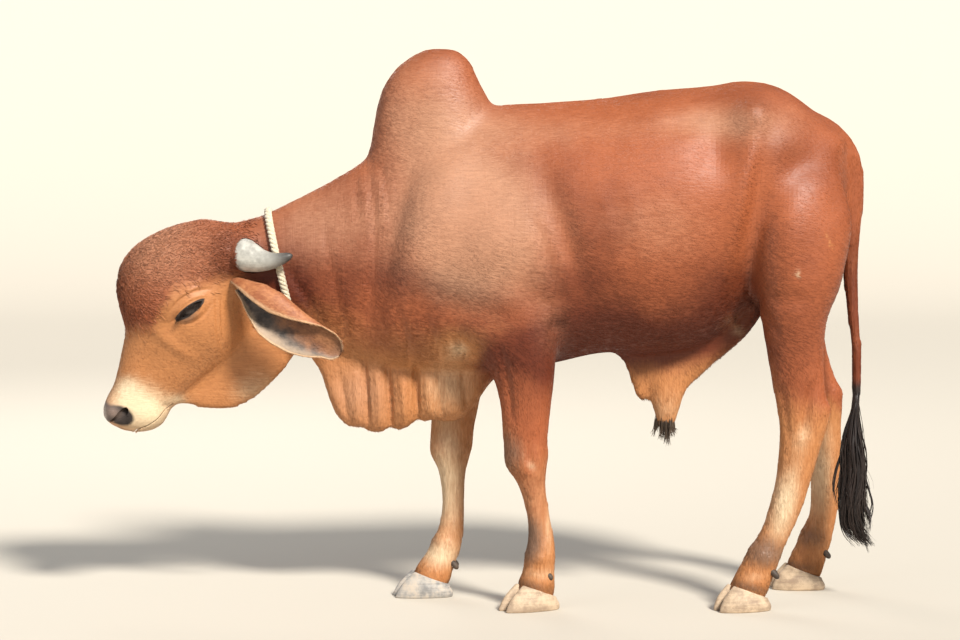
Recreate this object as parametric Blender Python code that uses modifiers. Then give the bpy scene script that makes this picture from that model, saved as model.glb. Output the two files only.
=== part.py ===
# A Gir bull as a still, life-size model: solid flesh, parted where a person would name its parts.
# Metres, +Z up. The head points to -X, the bull's left side to -Y, and the soles stand on Z = 0.
import math

import bmesh
import bpy
import numpy as np
from mathutils import Matrix, Vector, geometry
from mathutils.bvhtree import BVHTree

GAP = 0.0003  # between two parts that touch
BODY_VOXEL = 0.011  # grain of the fused body, before it is thinned to facets
HEAD_VOXEL = 0.0055
BODY_FACETS = 4400
HEAD_FACETS = 2000

# A ring is (front or top x, z), (back or bottom x, z), half width, widest place counted from
# the back as a share, and how square the front and back halves are (2 is an ellipse).
TRUNK_RINGS = [
    ((-0.335, 0.92), (-0.335, 0.68), 0.050, 0.50, 2.0, 2.0),
    ((-0.300, 1.04), (-0.300, 0.63), 0.120, 0.48, 1.9, 2.0),
    ((-0.220, 1.15), (-0.220, 0.605), 0.165, 0.45, 1.9, 2.1),
    ((-0.120, 1.22), (-0.120, 0.60), 0.190, 0.45, 1.9, 2.1),
    ((0.000, 1.272), (0.000, 0.60), 0.205, 0.46, 1.7, 2.1),
    ((0.140, 1.281), (0.140, 0.612), 0.222, 0.48, 1.8, 2.2),
    ((0.290, 1.290), (0.290, 0.643), 0.238, 0.48, 1.9, 2.2),
    ((0.430, 1.311), (0.430, 0.643), 0.240, 0.50, 2.0, 2.2),
    ((0.560, 1.324), (0.560, 0.672), 0.224, 0.56, 2.0, 2.1),
    ((0.660, 1.338), (0.660, 0.750), 0.205, 0.66, 2.0, 2.0),
    ((0.740, 1.322), (0.740, 0.800), 0.188, 0.66, 1.9, 2.0),
    ((0.820, 1.270), (0.820, 0.850), 0.152, 0.62, 2.0, 2.0),
    ((0.890, 1.203), (0.890, 0.940), 0.105, 0.60, 2.0, 2.0),
    ((0.910, 1.160), (0.910, 1.020), 0.050, 0.50, 2.0, 2.0),
]
NECK_RINGS = [
    ((-0.720, 0.950), (-0.620, 0.740), 0.060, 0.50, 2.0, 2.0),
    ((-0.650, 0.977), (-0.545, 0.680), 0.078, 0.52, 2.0, 1.9),
    ((-0.573, 1.003), (-0.490, 0.655), 0.086, 0.52, 1.9, 1.8),
    ((-0.460, 1.056), (-0.430, 0.640), 0.096, 0.52, 1.8, 1.8),
    ((-0.370, 1.105), (-0.365, 0.620), 0.112, 0.50, 1.8, 1.8),
    ((-0.300, 1.150), (-0.290, 0.605), 0.135, 0.48, 1.8, 1.9),
    ((-0.200, 1.190), (-0.180, 0.640), 0.150, 0.48, 1.8, 2.0),
]
HUMP_RINGS = [
    ((-0.330, 1.080), (0.040, 1.160), 0.108, 0.50, 2.0, 2.0),
    ((-0.304, 1.180), (0.020, 1.240), 0.096, 0.50, 2.0, 2.0),
    ((-0.288, 1.270), (-0.004, 1.295), 0.084, 0.52, 2.1, 2.1),
    ((-0.270, 1.325), (-0.030, 1.345), 0.073, 0.52, 2.1, 2.1),
    ((-0.236, 1.373), (-0.042, 1.374), 0.058, 0.50, 2.1, 2.1),
    ((-0.192, 1.406), (-0.062, 1.402), 0.040, 0.50, 2.0, 2.0),
    ((-0.160, 1.421), (-0.090, 1.421), 0.018, 0.50, 2.0, 2.0),
]
HEAD_RINGS = [
    ((-0.745, 0.984), (-0.660, 0.975), 0.030, 0.50, 2.0, 2.0),
    ((-0.808, 0.968), (-0.615, 0.935), 0.082, 0.50, 2.2, 2.0),
    ((-0.880, 0.935), (-0.595, 0.885), 0.108, 0.55, 2.3, 2.0),
    ((-0.934, 0.885), (-0.598, 0.825), 0.120, 0.58, 2.3, 1.9),
    ((-0.956, 0.815), (-0.606, 0.760), 0.122, 0.58, 2.2, 1.9),
    ((-0.946, 0.752), (-0.618, 0.700), 0.114, 0.56, 2.2, 1.8),
    ((-0.935, 0.708), (-0.645, 0.650), 0.100, 0.52, 2.2, 1.8),
    ((-0.945, 0.655), (-0.700, 0.598), 0.083, 0.50, 2.2, 1.8),
    ((-0.956, 0.603), (-0.757, 0.552), 0.070, 0.50, 2.3, 1.9),
    ((-0.968, 0.560), (-0.803, 0.515), 0.063, 0.52, 2.4, 2.1),
    ((-0.988, 0.521), (-0.826, 0.487), 0.065, 0.54, 2.5, 2.3),
    ((-0.996, 0.491), (-0.838, 0.463), 0.064, 0.54, 2.5, 2.3),
    ((-0.981, 0.461), (-0.862, 0.445), 0.052, 0.52, 2.3, 2.2),
    ((-0.945, 0.443), (-0.895, 0.436), 0.026, 0.50, 2.0, 2.0),
]

# Thin hanging folds of skin: (x, bottom z, top z inside the body, half thickness).
DEWLAP_DROPS = [
    (-0.478, 0.655, 0.74, 0.012),
    (-0.455, 0.622, 0.76, 0.020),
    (-0.432, 0.585, 0.76, 0.026),
    (-0.418, 0.540, 0.76, 0.028),
    (-0.404, 0.500, 0.76, 0.029),
    (-0.380, 0.463, 0.76, 0.030),
    (-0.345, 0.446, 0.76, 0.032),
    (-0.285, 0.434, 0.76, 0.036),
    (-0.220, 0.445, 0.74, 0.040),
    (-0.150, 0.468, 0.72, 0.042),
    (-0.090, 0.466, 0.70, 0.042),
    (-0.045, 0.495, 0.68, 0.038),
    (-0.005, 0.555, 0.66, 0.034),
    (0.040, 0.600, 0.66, 0.030),
]
DEWLAP_GROOVES = {-0.326: 0.5, -0.256: 1.0, -0.189: 0.9}  # x of each groove, and its strength
GROOVE_WIDTH, GROOVE_RISE, GROOVE_PINCH = 0.011, 0.020, 0.45
THROAT_DROPS = [
    (-0.805, 0.512, 0.56, 0.008),
    (-0.780, 0.506, 0.58, 0.013),
    (-0.736, 0.496, 0.62, 0.015),
    (-0.689, 0.491, 0.68, 0.016),
    (-0.645, 0.501, 0.72, 0.017),
    (-0.600, 0.527, 0.74, 0.018),
    (-0.555, 0.568, 0.76, 0.020),
    (-0.520, 0.608, 0.78, 0.022),
    (-0.490, 0.655, 0.80, 0.024),
]
SHEATH_DROPS = [
    (0.335, 0.628, 0.70, 0.010),
    (0.355, 0.596, 0.70, 0.013),
    (0.371, 0.548, 0.71, 0.015),
    (0.385, 0.517, 0.71, 0.016),
    (0.400, 0.516, 0.71, 0.014),
    (0.413, 0.533, 0.71, 0.013),
    (0.424, 0.490, 0.72, 0.018),
    (0.436, 0.452, 0.72, 0.023),
    (0.457, 0.445, 0.72, 0.026),
    (0.478, 0.458, 0.72, 0.024),
    (0.500, 0.528, 0.73, 0.022),
    (0.545, 0.582, 0.75, 0.024),
    (0.600, 0.632, 0.78, 0.026),
    (0.660, 0.684, 0.82, 0.028),
    (0.700, 0.740, 0.84, 0.030),
]
SCROTUM_RINGS = [
    ((0.740, 0.860), (0.815, 0.860), 0.026, 0.50, 2.0, 2.0),
    ((0.742, 0.785), (0.812, 0.785), 0.026, 0.50, 2.0, 2.0),
    ((0.735, 0.722), (0.818, 0.724), 0.037, 0.50, 2.0, 2.0),
    ((0.740, 0.680), (0.815, 0.682), 0.037, 0.50, 2.0, 2.0),
    ((0.762, 0.655), (0.798, 0.655), 0.016, 0.50, 2.0, 2.0),
]

# Legs: joints as (x, y, z) from the shoulder or hip down to the coronet, and girths as
# (place along the joints, reach ahead, reach behind, half width). 1.5 is halfway from joint 1 to 2.
FORE_JOINTS = {
    "left": [(-0.10, -0.118, 0.98), (0.085, -0.138, 0.72), (0.098, -0.140, 0.372),
             (0.127, -0.136, 0.140), (0.117, -0.136, 0.048)],
    "right": [(-0.12, 0.118, 0.98), (-0.065, 0.130, 0.72), (-0.098, 0.096, 0.372),
              (-0.114, 0.066, 0.134), (-0.153, 0.060, 0.048)],
}
FORE_GIRTHS = [
    (0.00, 0.110, 0.110, 0.045),
    (0.35, 0.140, 0.125, 0.066),
    (0.70, 0.150, 0.110, 0.078),
    (1.00, 0.150, 0.096, 0.080),
    (1.20, 0.128, 0.070, 0.070),
    (1.40, 0.090, 0.060, 0.057),
    (1.60, 0.070, 0.055, 0.049),
    (1.80, 0.062, 0.052, 0.043),
    (1.93, 0.058, 0.053, 0.044),
    (2.02, 0.050, 0.049, 0.046),
    (2.14, 0.034, 0.040, 0.039),
    (2.32, 0.025, 0.035, 0.030),
    (2.55, 0.026, 0.036, 0.028),
    (2.80, 0.032, 0.040, 0.031),
    (3.00, 0.038, 0.042, 0.036),
    (3.40, 0.038, 0.043, 0.034),
    (3.80, 0.045, 0.048, 0.040),
    (4.20, 0.044, 0.046, 0.038),
]
HIND_JOINTS = {
    "left": [(0.775, -0.112, 1.10), (0.757, -0.138, 0.80), (0.790, -0.145, 0.485),
             (0.700, -0.148, 0.145), (0.655, -0.148, 0.050)],
    "right": [(0.785, 0.112, 1.10), (0.770, 0.138, 0.80), (0.862, 0.158, 0.490),
              (0.868, 0.172, 0.145), (0.832, 0.172, 0.050)],
}
HIND_GIRTHS = [
    (0.00, 0.110, 0.120, 0.066),
    (0.33, 0.112, 0.150, 0.086),
    (0.66, 0.098, 0.143, 0.092),
    (1.00, 0.083, 0.122, 0.086),
    (1.25, 0.075, 0.089, 0.070),
    (1.50, 0.073, 0.070, 0.054),
    (1.75, 0.071, 0.062, 0.042),
    (2.00, 0.061, 0.070, 0.038),
    (2.15, 0.050, 0.056, 0.036),
    (2.40, 0.035, 0.047, 0.031),
    (2.70, 0.034, 0.041, 0.028),
    (2.90, 0.040, 0.041, 0.031),
    (3.00, 0.044, 0.042, 0.036),
    (3.40, 0.044, 0.044, 0.034),
    (3.80, 0.046, 0.048, 0.040),
    (4.20, 0.044, 0.046, 0.038),
]

# Tail: (x, z, radius), first the root that is one with the rump, then down to the switch.
TAIL_ROOT = [(0.790, 1.235, 0.042), (0.862, 1.198, 0.044), (0.908, 1.145, 0.042), (0.918, 1.125, 0.039)]
TAIL_LINE = [
    (0.917, 1.1297, 0.036),
    (0.930, 1.050, 0.031),
    (0.928, 0.960, 0.026),
    (0.926, 0.870, 0.021),
    (0.934, 0.760, 0.017),
    (0.945, 0.650, 0.014),
    (0.946, 0.525, 0.0125),
]
TAIL_PART = 0.850  # height where the tail's two lengths meet
SWITCH_TOP = 0.535  # height where the tail meets its switch
SWITCH_SHAPE = [  # (x, z, half width, half depth) of the whole switch
    (0.946, 0.535, 0.0125, 0.0125),
    (0.941, 0.472, 0.024, 0.021),
    (0.939, 0.415, 0.033, 0.028),
    (0.938, 0.340, 0.035, 0.030),
    (0.939, 0.250, 0.034, 0.030),
    (0.938, 0.200, 0.028, 0.025),
    (0.950, 0.165, 0.017, 0.016),
    (0.976, 0.136, 0.005, 0.006),
]
SWITCH_CORE = [(0.946, 0.545, 0.0125), (0.942, 0.472, 0.018), (0.939, 0.400, 0.023), (0.939, 0.310, 0.022),
               (0.940, 0.220, 0.013), (0.945, 0.190, 0.005)]
SWITCH_LOCKS = 17
SWITCH_STRAYS = [  # (y at the tip, (x, z) along the lock)
    (-0.010, [(0.930, 0.440), (0.908, 0.380), (0.893, 0.330), (0.888, 0.295), (0.897, 0.255)]),
    (0.012, [(0.950, 0.400), (0.968, 0.330), (0.982, 0.285), (0.992, 0.245), (0.982, 0.205)]),
    (-0.020, [(0.945, 0.360), (0.957, 0.280), (0.975, 0.240), (0.985, 0.215), (0.980, 0.190)]),
    (0.000, [(0.938, 0.320), (0.943, 0.250), (0.957, 0.200), (0.970, 0.165), (0.981, 0.134)]),
    (-0.022, [(0.925, 0.330), (0.911, 0.260), (0.906, 0.210), (0.920, 0.172), (0.946, 0.150)]),
    (0.024, [(0.935, 0.330), (0.922, 0.260), (0.914, 0.215), (0.925, 0.180), (0.940, 0.160)]),
]
LOCK_STEPS = 7

# The tuft at the tip of the sheath: (x, y at the root, x, y, z at the tip).
SHEATH_TUFT = [
    (0.432, -0.006, 0.420, -0.012, 0.425),
    (0.438, 0.008, 0.431, 0.016, 0.430),
    (0.443, -0.012, 0.440, -0.020, 0.418),
    (0.449, 0.000, 0.448, 0.004, 0.412),
    (0.452, -0.014, 0.455, -0.018, 0.406),
    (0.457, 0.012, 0.460, 0.020, 0.416),
    (0.460, -0.004, 0.462, -0.006, 0.398),
    (0.464, -0.012, 0.468, -0.022, 0.424),
    (0.468, 0.006, 0.474, 0.010, 0.420),
    (0.471, -0.005, 0.481, -0.010, 0.430),
]
SHEATH_TUFT_ROOT = 0.476

# Hoofs: toe and heel reach from the coronet's middle at the sole, for fore and hind feet.
HOOF_REACH = {"fore": (0.098, 0.050), "hind": (0.086, 0.050)}
CORONET_FRONT, CORONET_HEEL = 0.066, 0.031  # heights of its front and back edge
CORONET_TOP = (0.046, 0.046)  # reach of the claws ahead and behind at the coronet
CLAW_HALF_WIDTH, CLAW_SPREAD, CLAW_SWELL = 0.0215, 0.0236, 0.004
# Dewclaw: (behind the fetlock, out from its middle, above it, radius).
DEWCLAW_LINE = [(0.016, 0.016, -0.040, 0.010), (0.034, 0.020, -0.051, 0.0125), (0.048, 0.022, -0.062, 0.009)]
FOOT_TURN = {"fore_left": 30, "fore_right": 12, "hind_left": 22, "hind_right": 4}  # toward the left, in degrees

EYE_CENTRE, EYE_RADIUS = (-0.757, 0.096, 0.763), 0.0285
EYE_TURN = math.radians(35)  # the slit rises toward the back by this much
EYE_SLIT = (0.031, 0.0085)  # half length and half height of the opening between the lids
HORN_LINE = [  # (x, y, z, radius) of the right horn; the left one is its mirror
    (-0.652, 0.036, 0.906, 0.034),
    (-0.632, 0.066, 0.901, 0.043),
    (-0.602, 0.098, 0.893, 0.037),
    (-0.565, 0.123, 0.889, 0.027),
    (-0.530, 0.134, 0.894, 0.018),
    (-0.500, 0.138, 0.903, 0.008),
]
EAR_LINE = [(-0.668, 0.055, 0.830), (-0.639, 0.092, 0.813), (-0.590, 0.122, 0.783), (-0.510, 0.142, 0.735),
            (-0.440, 0.147, 0.692), (-0.376, 0.142, 0.653)]
# Ear: (share of its length, height of the fold's top over the middle line, height of its free
# rim, drop of the lower rim, depth of the fold, and how far the lower half turns, in degrees)
EAR_SECTIONS = [
    (0.00, 0.018, 0.000, 0.012, 0.030, 90),
    (0.18, 0.044, 0.000, 0.022, 0.042, 90),
    (0.28, 0.054, -0.001, 0.038, 0.050, 85),
    (0.42, 0.0525, -0.002, 0.062, 0.050, 75),
    (0.54, 0.047, 0.008, 0.069, 0.046, 70),
    (0.66, 0.040, 0.022, 0.065, 0.040, 75),
    (0.78, 0.037, 0.036, 0.051, 0.034, 88),
    (0.89, 0.039, 0.038, 0.032, 0.030, 110),
    (0.96, 0.028, 0.027, 0.025, 0.022, 100),
    (1.00, 0.009, 0.008, 0.008, 0.010, 90),
]
EAR_UP = (0.518, 0.0, 0.855)  # the way the upper edge lies from the middle line
EAR_THICK = 0.0045
NOSTRIL_LINE = [  # (x, y, z, radius), from the front rim curling back and in
    (-0.992, 0.034, 0.474, 0.0040),
    (-0.976, 0.050, 0.480, 0.0065),
    (-0.956, 0.058, 0.496, 0.0095),
    (-0.947, 0.052, 0.505, 0.0085),
    (-0.940, 0.035, 0.512, 0.0050),
]
MOUTH_LINE = [(-0.950, 0.420), (-0.925, 0.443), (-0.897, 0.449), (-0.872, 0.460), (-0.850, 0.478),
              (-0.832, 0.500), (-0.812, 0.514)]
MOUTH_GAP = 0.002

COLLAR_PLANE = [(-0.580, 1.06), (-0.470, 0.60)]  # top and bottom of the rope's loop, as (x, z)
COLLAR_RADIUS = 0.0075

# Muscles and bones under the skin, the same on both sides:
# centre, reach in x, y, z, lean (degrees, top toward the tail), and how far the skin goes out.
BODY_RELIEF = [
    ((-0.150, 0.16, 1.00), (0.060, 0.10, 0.210), 17, 0.016),  # front of the shoulder blade
    ((-0.255, 0.13, 0.92), (0.032, 0.10, 0.200), 14, -0.014),  # dip ahead of the shoulder
    ((0.020, 0.20, 0.92), (0.110, 0.10, 0.140), -20, 0.018),  # upper arm
    ((0.185, 0.20, 0.95), (0.035, 0.10, 0.150), -18, -0.015),  # dip behind the upper arm
    ((-0.020, 0.18, 0.76), (0.110, 0.10, 0.035), 15, -0.007),
    ((0.480, 0.17, 1.235), (0.060, 0.05, 0.030), 0, -0.007),  # dip under the loin
    ((0.575, 0.19, 1.165), (0.055, 0.08, 0.070), 10, -0.018),  # hollow of the flank
    ((0.662, 0.18, 1.262), (0.045, 0.06, 0.040), 0, 0.026),  # hook bone
    ((0.628, 0.20, 1.060), (0.026, 0.08, 0.150), 13, 0.010),  # front edge of the thigh
    ((0.672, 0.20, 1.040), (0.026, 0.08, 0.130), 8, -0.009),
    ((0.745, 0.19, 0.980), (0.065, 0.09, 0.110), 14, 0.016),  # bulge of the thigh
    ((0.765, 0.15, 1.130), (0.050, 0.06, 0.040), -30, -0.012),  # hollow above the hip
    ((0.865, 0.13, 1.030), (0.035, 0.06, 0.060), 0, -0.010),
    ((0.893, 0.075, 1.185), (0.035, 0.04, 0.035), 0, 0.012),  # pin bone
    ((0.735, 0.20, 0.795), (0.070, 0.06, 0.026), 0, -0.007),  # fold above the stifle
    ((0.300, 0.00, 1.300), (0.300, 0.022, 0.050), 0, 0.006),  # spine
    ((-0.450, 0.10, 0.90), (0.100, 0.05, 0.050), 0, 0.008),  # side of the neck
]
LEG_RELIEF = {  # on one leg each: the elbow, the knee cap and the point of the hock
    -1: [
        ((0.163, 0.165, 0.762), (0.028, 0.05, 0.028), 0, 0.013),
        ((0.055, 0.140, 0.375), (0.020, 0.03, 0.028), 0, 0.006),
        ((0.850, 0.145, 0.510), (0.020, 0.03, 0.020), 0, 0.007),
    ],
    1: [
        ((0.015, 0.165, 0.762), (0.028, 0.05, 0.028), 0, 0.013),
        ((-0.140, 0.096, 0.375), (0.020, 0.03, 0.028), 0, 0.006),
        ((0.912, 0.158, 0.525), (0.020, 0.03, 0.020), 0, 0.007),
    ],
}
HEAD_RELIEF = [
    ((-0.757, 0.12, 0.763), (0.036, 0.05, 0.024), -35, 0.013),  # lids over the eyeball
    ((-0.775, 0.12, 0.800), (0.050, 0.05, 0.014), -35, 0.008),  # brow
    ((-0.812, 0.10, 0.725), (0.024, 0.05, 0.024), 0, -0.006),  # hollow ahead of the eye
    ((-0.690, 0.11, 0.845), (0.030, 0.05, 0.035), 0, -0.008),  # temple
    ((-0.700, 0.11, 0.700), (0.055, 0.06, 0.070), 25, 0.010),  # cheek muscle
    ((-0.668, 0.11, 0.760), (0.012, 0.06, 0.060), 5, -0.005),  # crease behind the cheek
    ((-0.800, 0.10, 0.665), (0.060, 0.05, 0.016), 40, 0.005),  # cheek bone
    ((-0.870, 0.08, 0.615), (0.030, 0.04, 0.055), 25, -0.005),  # side of the nose
    ((-0.970, 0.055, 0.505), (0.020, 0.03, 0.024), 0, 0.006),  # wing of the nostril
    ((-0.885, 0.060, 0.490), (0.040, 0.04, 0.030), 30, 0.005),  # upper lip
    ((-0.830, 0.050, 0.505), (0.012, 0.05, 0.012), 0, -0.006),  # corner of the mouth
    ((-0.880, 0.060, 0.865), (0.045, 0.05, 0.060), 20, 0.006),  # dome of the forehead
    ((-0.625, 0.075, 0.905), (0.030, 0.05, 0.050), 0, 0.006),  # root of the horn
]
# Where joined masses are melted more: (centre, reach).
SOFT_AREAS = [
    ((0.80, 0.14, 1.08), 0.13), ((0.72, 0.16, 0.86), 0.09), ((-0.10, 0.15, 0.98), 0.16),
    ((0.04, 0.17, 0.78), 0.10), ((-0.15, 0.10, 1.16), 0.13), ((0.03, 0.08, 1.26), 0.09),
    ((-0.58, 0.07, 0.84), 0.09), ((-0.62, 0.03, 0.97), 0.07), ((-0.30, 0.12, 0.85), 0.14),
    ((0.86, 0.06, 1.15), 0.08), ((-0.62, 0.06, 0.66), 0.07), ((0.62, 0.12, 0.74), 0.08),
]
MELT_ROUNDS = 30

# The thin cuts, as lines of (x, z) seen from the side.
HEAD_CUT = [(-0.600, 1.14), (-0.442, 0.48)]
NECK_CUT = [(-0.345, 1.200), (-0.325, 1.100), (-0.285, 1.000), (-0.266, 0.900), (-0.272, 0.800),
            (-0.300, 0.700), (-0.330, 0.6075)]
HUMP_CUT = [(-0.365, 1.160), (-0.320, 1.135), (-0.250, 1.150), (-0.150, 1.180), (-0.050, 1.225),
            (0.020, 1.275), (0.065, 1.330)]
BARREL_CUT = [(0.080, 1.420), (0.095, 1.150), (0.165, 0.980), (0.225, 0.840), (0.238, 0.700), (0.238, 0.540)]
HAUNCH_CUT = [(0.600, 1.450), (0.588, 1.150), (0.590, 0.900), (0.605, 0.760), (0.600, 0.697)]
DEWLAP_CUT = [(-0.520, 0.610), (-0.470, 0.632), (-0.430, 0.636), (-0.365, 0.618), (-0.290, 0.602),
              (-0.120, 0.597), (0.030, 0.598), (0.065, 0.575)]
SHEATH_CUT = [(0.322, 0.600), (0.332, 0.640), (0.430, 0.642), (0.500, 0.656), (0.560, 0.671), (0.600, 0.698),
              (0.660, 0.742), (0.700, 0.764), (0.725, 0.740)]
SCROTUM_CUT = [(0.722, 0.770), (0.735, 0.790), (0.780, 0.815), (0.815, 0.835), (0.845, 0.790)]
FORELEG_CUT = [(-0.045, 0.560), (-0.030, 0.630), (0.010, 0.690), (0.080, 0.760), (0.150, 0.800),
               (0.200, 0.795), (0.226, 0.720), (0.222, 0.620), (0.210, 0.560)]
FAR_FORELEG_SHIFT = -0.155
HINDLEG_CUT = [(0.650, 0.640), (0.668, 0.740), (0.700, 0.820), (0.760, 0.880), (0.840, 0.900), (0.960, 0.890)]

SEEDS = {
    "neck": (-0.42, 0, 0.85), "hump": (-0.15, 0, 1.30), "dewlap": (-0.28, 0, 0.52),
    "forequarters": (-0.10, 0, 0.90), "barrel": (0.40, 0, 0.95), "hindquarters": (0.75, 0, 1.10),
    "sheath": (0.457, 0, 0.50), "scrotum": (0.778, 0, 0.70),
    "foreleg_left": (0.098, -0.14, 0.45), "foreleg_right": (-0.10, 0.105, 0.45),
    "hindleg_left": (0.79, -0.145, 0.55), "hindleg_right": (0.85, 0.155, 0.55),
}

COATS = {
    "coat": (0.36, 0.13, 0.06),
    "pale_coat": (0.62, 0.36, 0.20),
    "horn": (0.55, 0.54, 0.50),
    "hoof": (0.20, 0.17, 0.14),
    "eye": (0.02, 0.014, 0.01),
    "black_hair": (0.02, 0.017, 0.016),
    "rope": (0.62, 0.55, 0.40),
}


def smooth_rows(rows, count):
    """Reads a smooth curve through rows of numbers at evenly spaced places."""
    rows = np.array(rows, float)
    steps = np.linalg.norm(np.diff(rows[:, :3], axis=0), axis=1) + 1e-6
    at = np.concatenate([[0], np.cumsum(steps)])
    slopes = np.diff(rows, axis=0) / steps[:, None]
    turn = np.empty_like(rows)
    turn[0], turn[-1] = slopes[0], slopes[-1]
    share = (steps[1:] / (steps[1:] + steps[:-1]))[:, None]
    turn[1:-1] = share * slopes[:-1] + (1 - share) * slopes[1:]
    want = np.linspace(0, at[-1], count)
    i = np.clip(np.searchsorted(at, want, side="right") - 1, 0, len(steps) - 1)
    h = steps[i][:, None]
    u = ((want - at[i]) / steps[i])[:, None]
    return ((2 * u**3 - 3 * u**2 + 1) * rows[i] + (u**3 - 2 * u**2 + u) * h * turn[i]
            + (3 * u**2 - 2 * u**3) * rows[i + 1] + (u**3 - u**2) * h * turn[i + 1])


def bend(value, power):
    return math.copysign(abs(value) ** (2 / power), value)


def new_object(name, bm, collection):
    mesh = bpy.data.meshes.new(name)
    bm.to_mesh(mesh)
    bm.free()
    obj = bpy.data.objects.new(name, mesh)
    collection.objects.link(obj)
    return obj


def loft(name, rings, collection):
    """A closed skin over rings of points, with flat ends."""
    bm = bmesh.new()
    made = [[bm.verts.new(p) for p in ring] for ring in rings]
    for first, second in zip(made, made[1:]):
        for i in range(len(first)):
            j = (i + 1) % len(first)
            bm.faces.new((first[i], first[j], second[j], second[i]))
    bmesh.ops.triangulate(bm, faces=bm.faces[:], quad_method="FIXED")
    bm.faces.new(reversed(made[0]))
    bm.faces.new(made[-1])
    bmesh.ops.recalc_face_normals(bm, faces=bm.faces)
    return new_object(name, bm, collection)


def ring_of(front, back, half_width, widest, front_power, back_power, y=0.0, sides=24):
    front, back = Vector((front[0], y, front[1])), Vector((back[0], y, back[1]))
    middle = back.lerp(front, widest)
    points = []
    for k in range(sides):
        across, along = math.cos(math.tau * k / sides), math.sin(math.tau * k / sides)
        end, power = (front, front_power) if along >= 0 else (back, back_power)
        point = middle + (end - middle) * abs(bend(along, power))
        points.append(point + Vector((0, float(half_width) * bend(across, power), 0)))
    return points


def ringed_body(name, rows, collection, step=0.02, sides=24):
    """A loft over rows of the ring form."""
    flat = [((f[0] + b[0]) / 2, 0, (f[1] + b[1]) / 2, *f, *b, w, *rest) for f, b, w, *rest in rows]
    length = sum((Vector(a[:3]) - Vector(b[:3])).length for a, b in zip(flat, flat[1:]))
    rings = [ring_of(r[3:5], r[5:7], r[7], r[8], r[9], r[10], sides=sides)
             for r in smooth_rows(flat, max(6, round(length / step)))]
    return loft(name, rings, collection)


def hanging_fold(name, drops, grooves, collection, step=0.008):
    """A thin fold of skin that hangs below the body, with vertical grooves."""
    rows = smooth_rows([(x, 0, 0, x, low, high, thick) for x, low, high, thick in drops],
                       round((drops[-1][0] - drops[0][0]) / step))
    rings = []
    for row in rows:
        x, low, high, thick = row[3:]
        dip = max([s * math.exp(-((x - g) / GROOVE_WIDTH) ** 2) for g, s in grooves.items()] or [0])
        low += GROOVE_RISE * dip
        thick *= 1 - GROOVE_PINCH * dip
        rings.append(ring_of((x, high), (x, low), thick, 0.35, 2.0, 2.6, sides=20))
    return loft(name, rings, collection)


def leg(name, joints, girths, collection, step=0.012, sides=20):
    """A limb round a smooth line through its joints."""
    line = smooth_rows([(*p, i) for i, p in enumerate(joints)], 240)
    places = line[:, 3]

    def at(place):
        if place > places[-1]:
            past = (place - places[-1]) / (places[-1] - places[-6])
            return line[-1, :3] + past * (line[-1, :3] - line[-6, :3])
        return np.array([np.interp(place, places, line[:, c]) for c in range(3)])

    rows = smooth_rows([(*at(g[0]), *g) for g in girths], 70)
    rings = []
    for row in rows:
        place, ahead, behind, wide = row[3:]
        middle, below = at(place), at(place + 0.05)
        down = Vector(below - middle).normalized()
        forward = Vector((0, 1, 0)).cross(down).normalized()
        side = down.cross(forward).normalized()
        ring = []
        for k in range(sides):
            across, along = math.cos(math.tau * k / sides), math.sin(math.tau * k / sides)
            reach = float(ahead if along >= 0 else behind) * bend(along, 2.1)
            ring.append(Vector(middle) + forward * reach + side * float(wide) * bend(across, 2.1))
        rings.append(ring)
    return loft(name, rings, collection)


def tube(name, line, collection, sides=14, count=40, extra=0.0):
    """A round tapering tube through (x, y, z, radius) rows."""
    rows = smooth_rows(line, count)
    rings = []
    for i, row in enumerate(rows):
        ahead = Vector(rows[min(i + 1, count - 1)][:3]) - Vector(rows[max(i - 1, 0)][:3])
        longer = ((i == count - 1) - (i == 0)) * extra
        middle = Vector(row[:3]) + ahead.normalized() * longer
        u = ahead.cross(Vector((0, 1, 0.01))).normalized() * float(row[3] + extra)
        v = ahead.cross(u).normalized() * u.length
        turns = [math.tau * k / sides for k in range(sides)]
        rings.append([middle + u * math.cos(t) + v * math.sin(t) for t in turns])
    return loft(name, rings, collection)


def make_collection(name, hidden=False):
    made = bpy.data.collections.new(name)
    bpy.context.scene.collection.children.link(made)
    made.hide_render = hidden
    return made


def start():
    for obj in list(bpy.data.objects):
        bpy.data.objects.remove(obj, do_unlink=True)


def baked(obj):
    """Replaces the object's mesh by what its modifiers make of it."""
    graph = bpy.context.evaluated_depsgraph_get()
    mesh = bpy.data.meshes.new_from_object(obj.evaluated_get(graph))
    obj.modifiers.clear()
    obj.data = mesh
    return obj


def copy_of(obj, name, collection):
    made = obj.copy()
    made.data = obj.data.copy()
    made.name = name
    collection.objects.link(made)
    return made


def flesh_lofts(collection, whole=True):
    ringed_body("head_form", HEAD_RINGS, collection, step=0.012)
    ringed_body("neck_form", NECK_RINGS, collection)
    hanging_fold("throat_form", THROAT_DROPS, {}, collection)
    if not whole:
        return
    hanging_fold("dewlap_form", DEWLAP_DROPS, DEWLAP_GROOVES, collection)
    ringed_body("trunk_form", TRUNK_RINGS, collection)
    ringed_body("hump_form", HUMP_RINGS, collection, step=0.012)
    hanging_fold("sheath_form", SHEATH_DROPS, {}, collection)
    ringed_body("scrotum_form", SCROTUM_RINGS, collection, step=0.012, sides=16)
    tube("tail_root_form", [(x, 0, z, r) for x, z, r in TAIL_ROOT], collection)
    for side in ("left", "right"):
        leg("fore_form_" + side, FORE_JOINTS[side], FORE_GIRTHS, collection)
        leg("hind_form_" + side, HIND_JOINTS[side], HIND_GIRTHS, collection)


def coordinates(mesh, what="co"):
    values = np.empty(len(mesh.vertices) * 3, np.float32)
    mesh.vertices.foreach_get(what, values)
    return values.reshape(-1, 3).astype(float)


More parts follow.
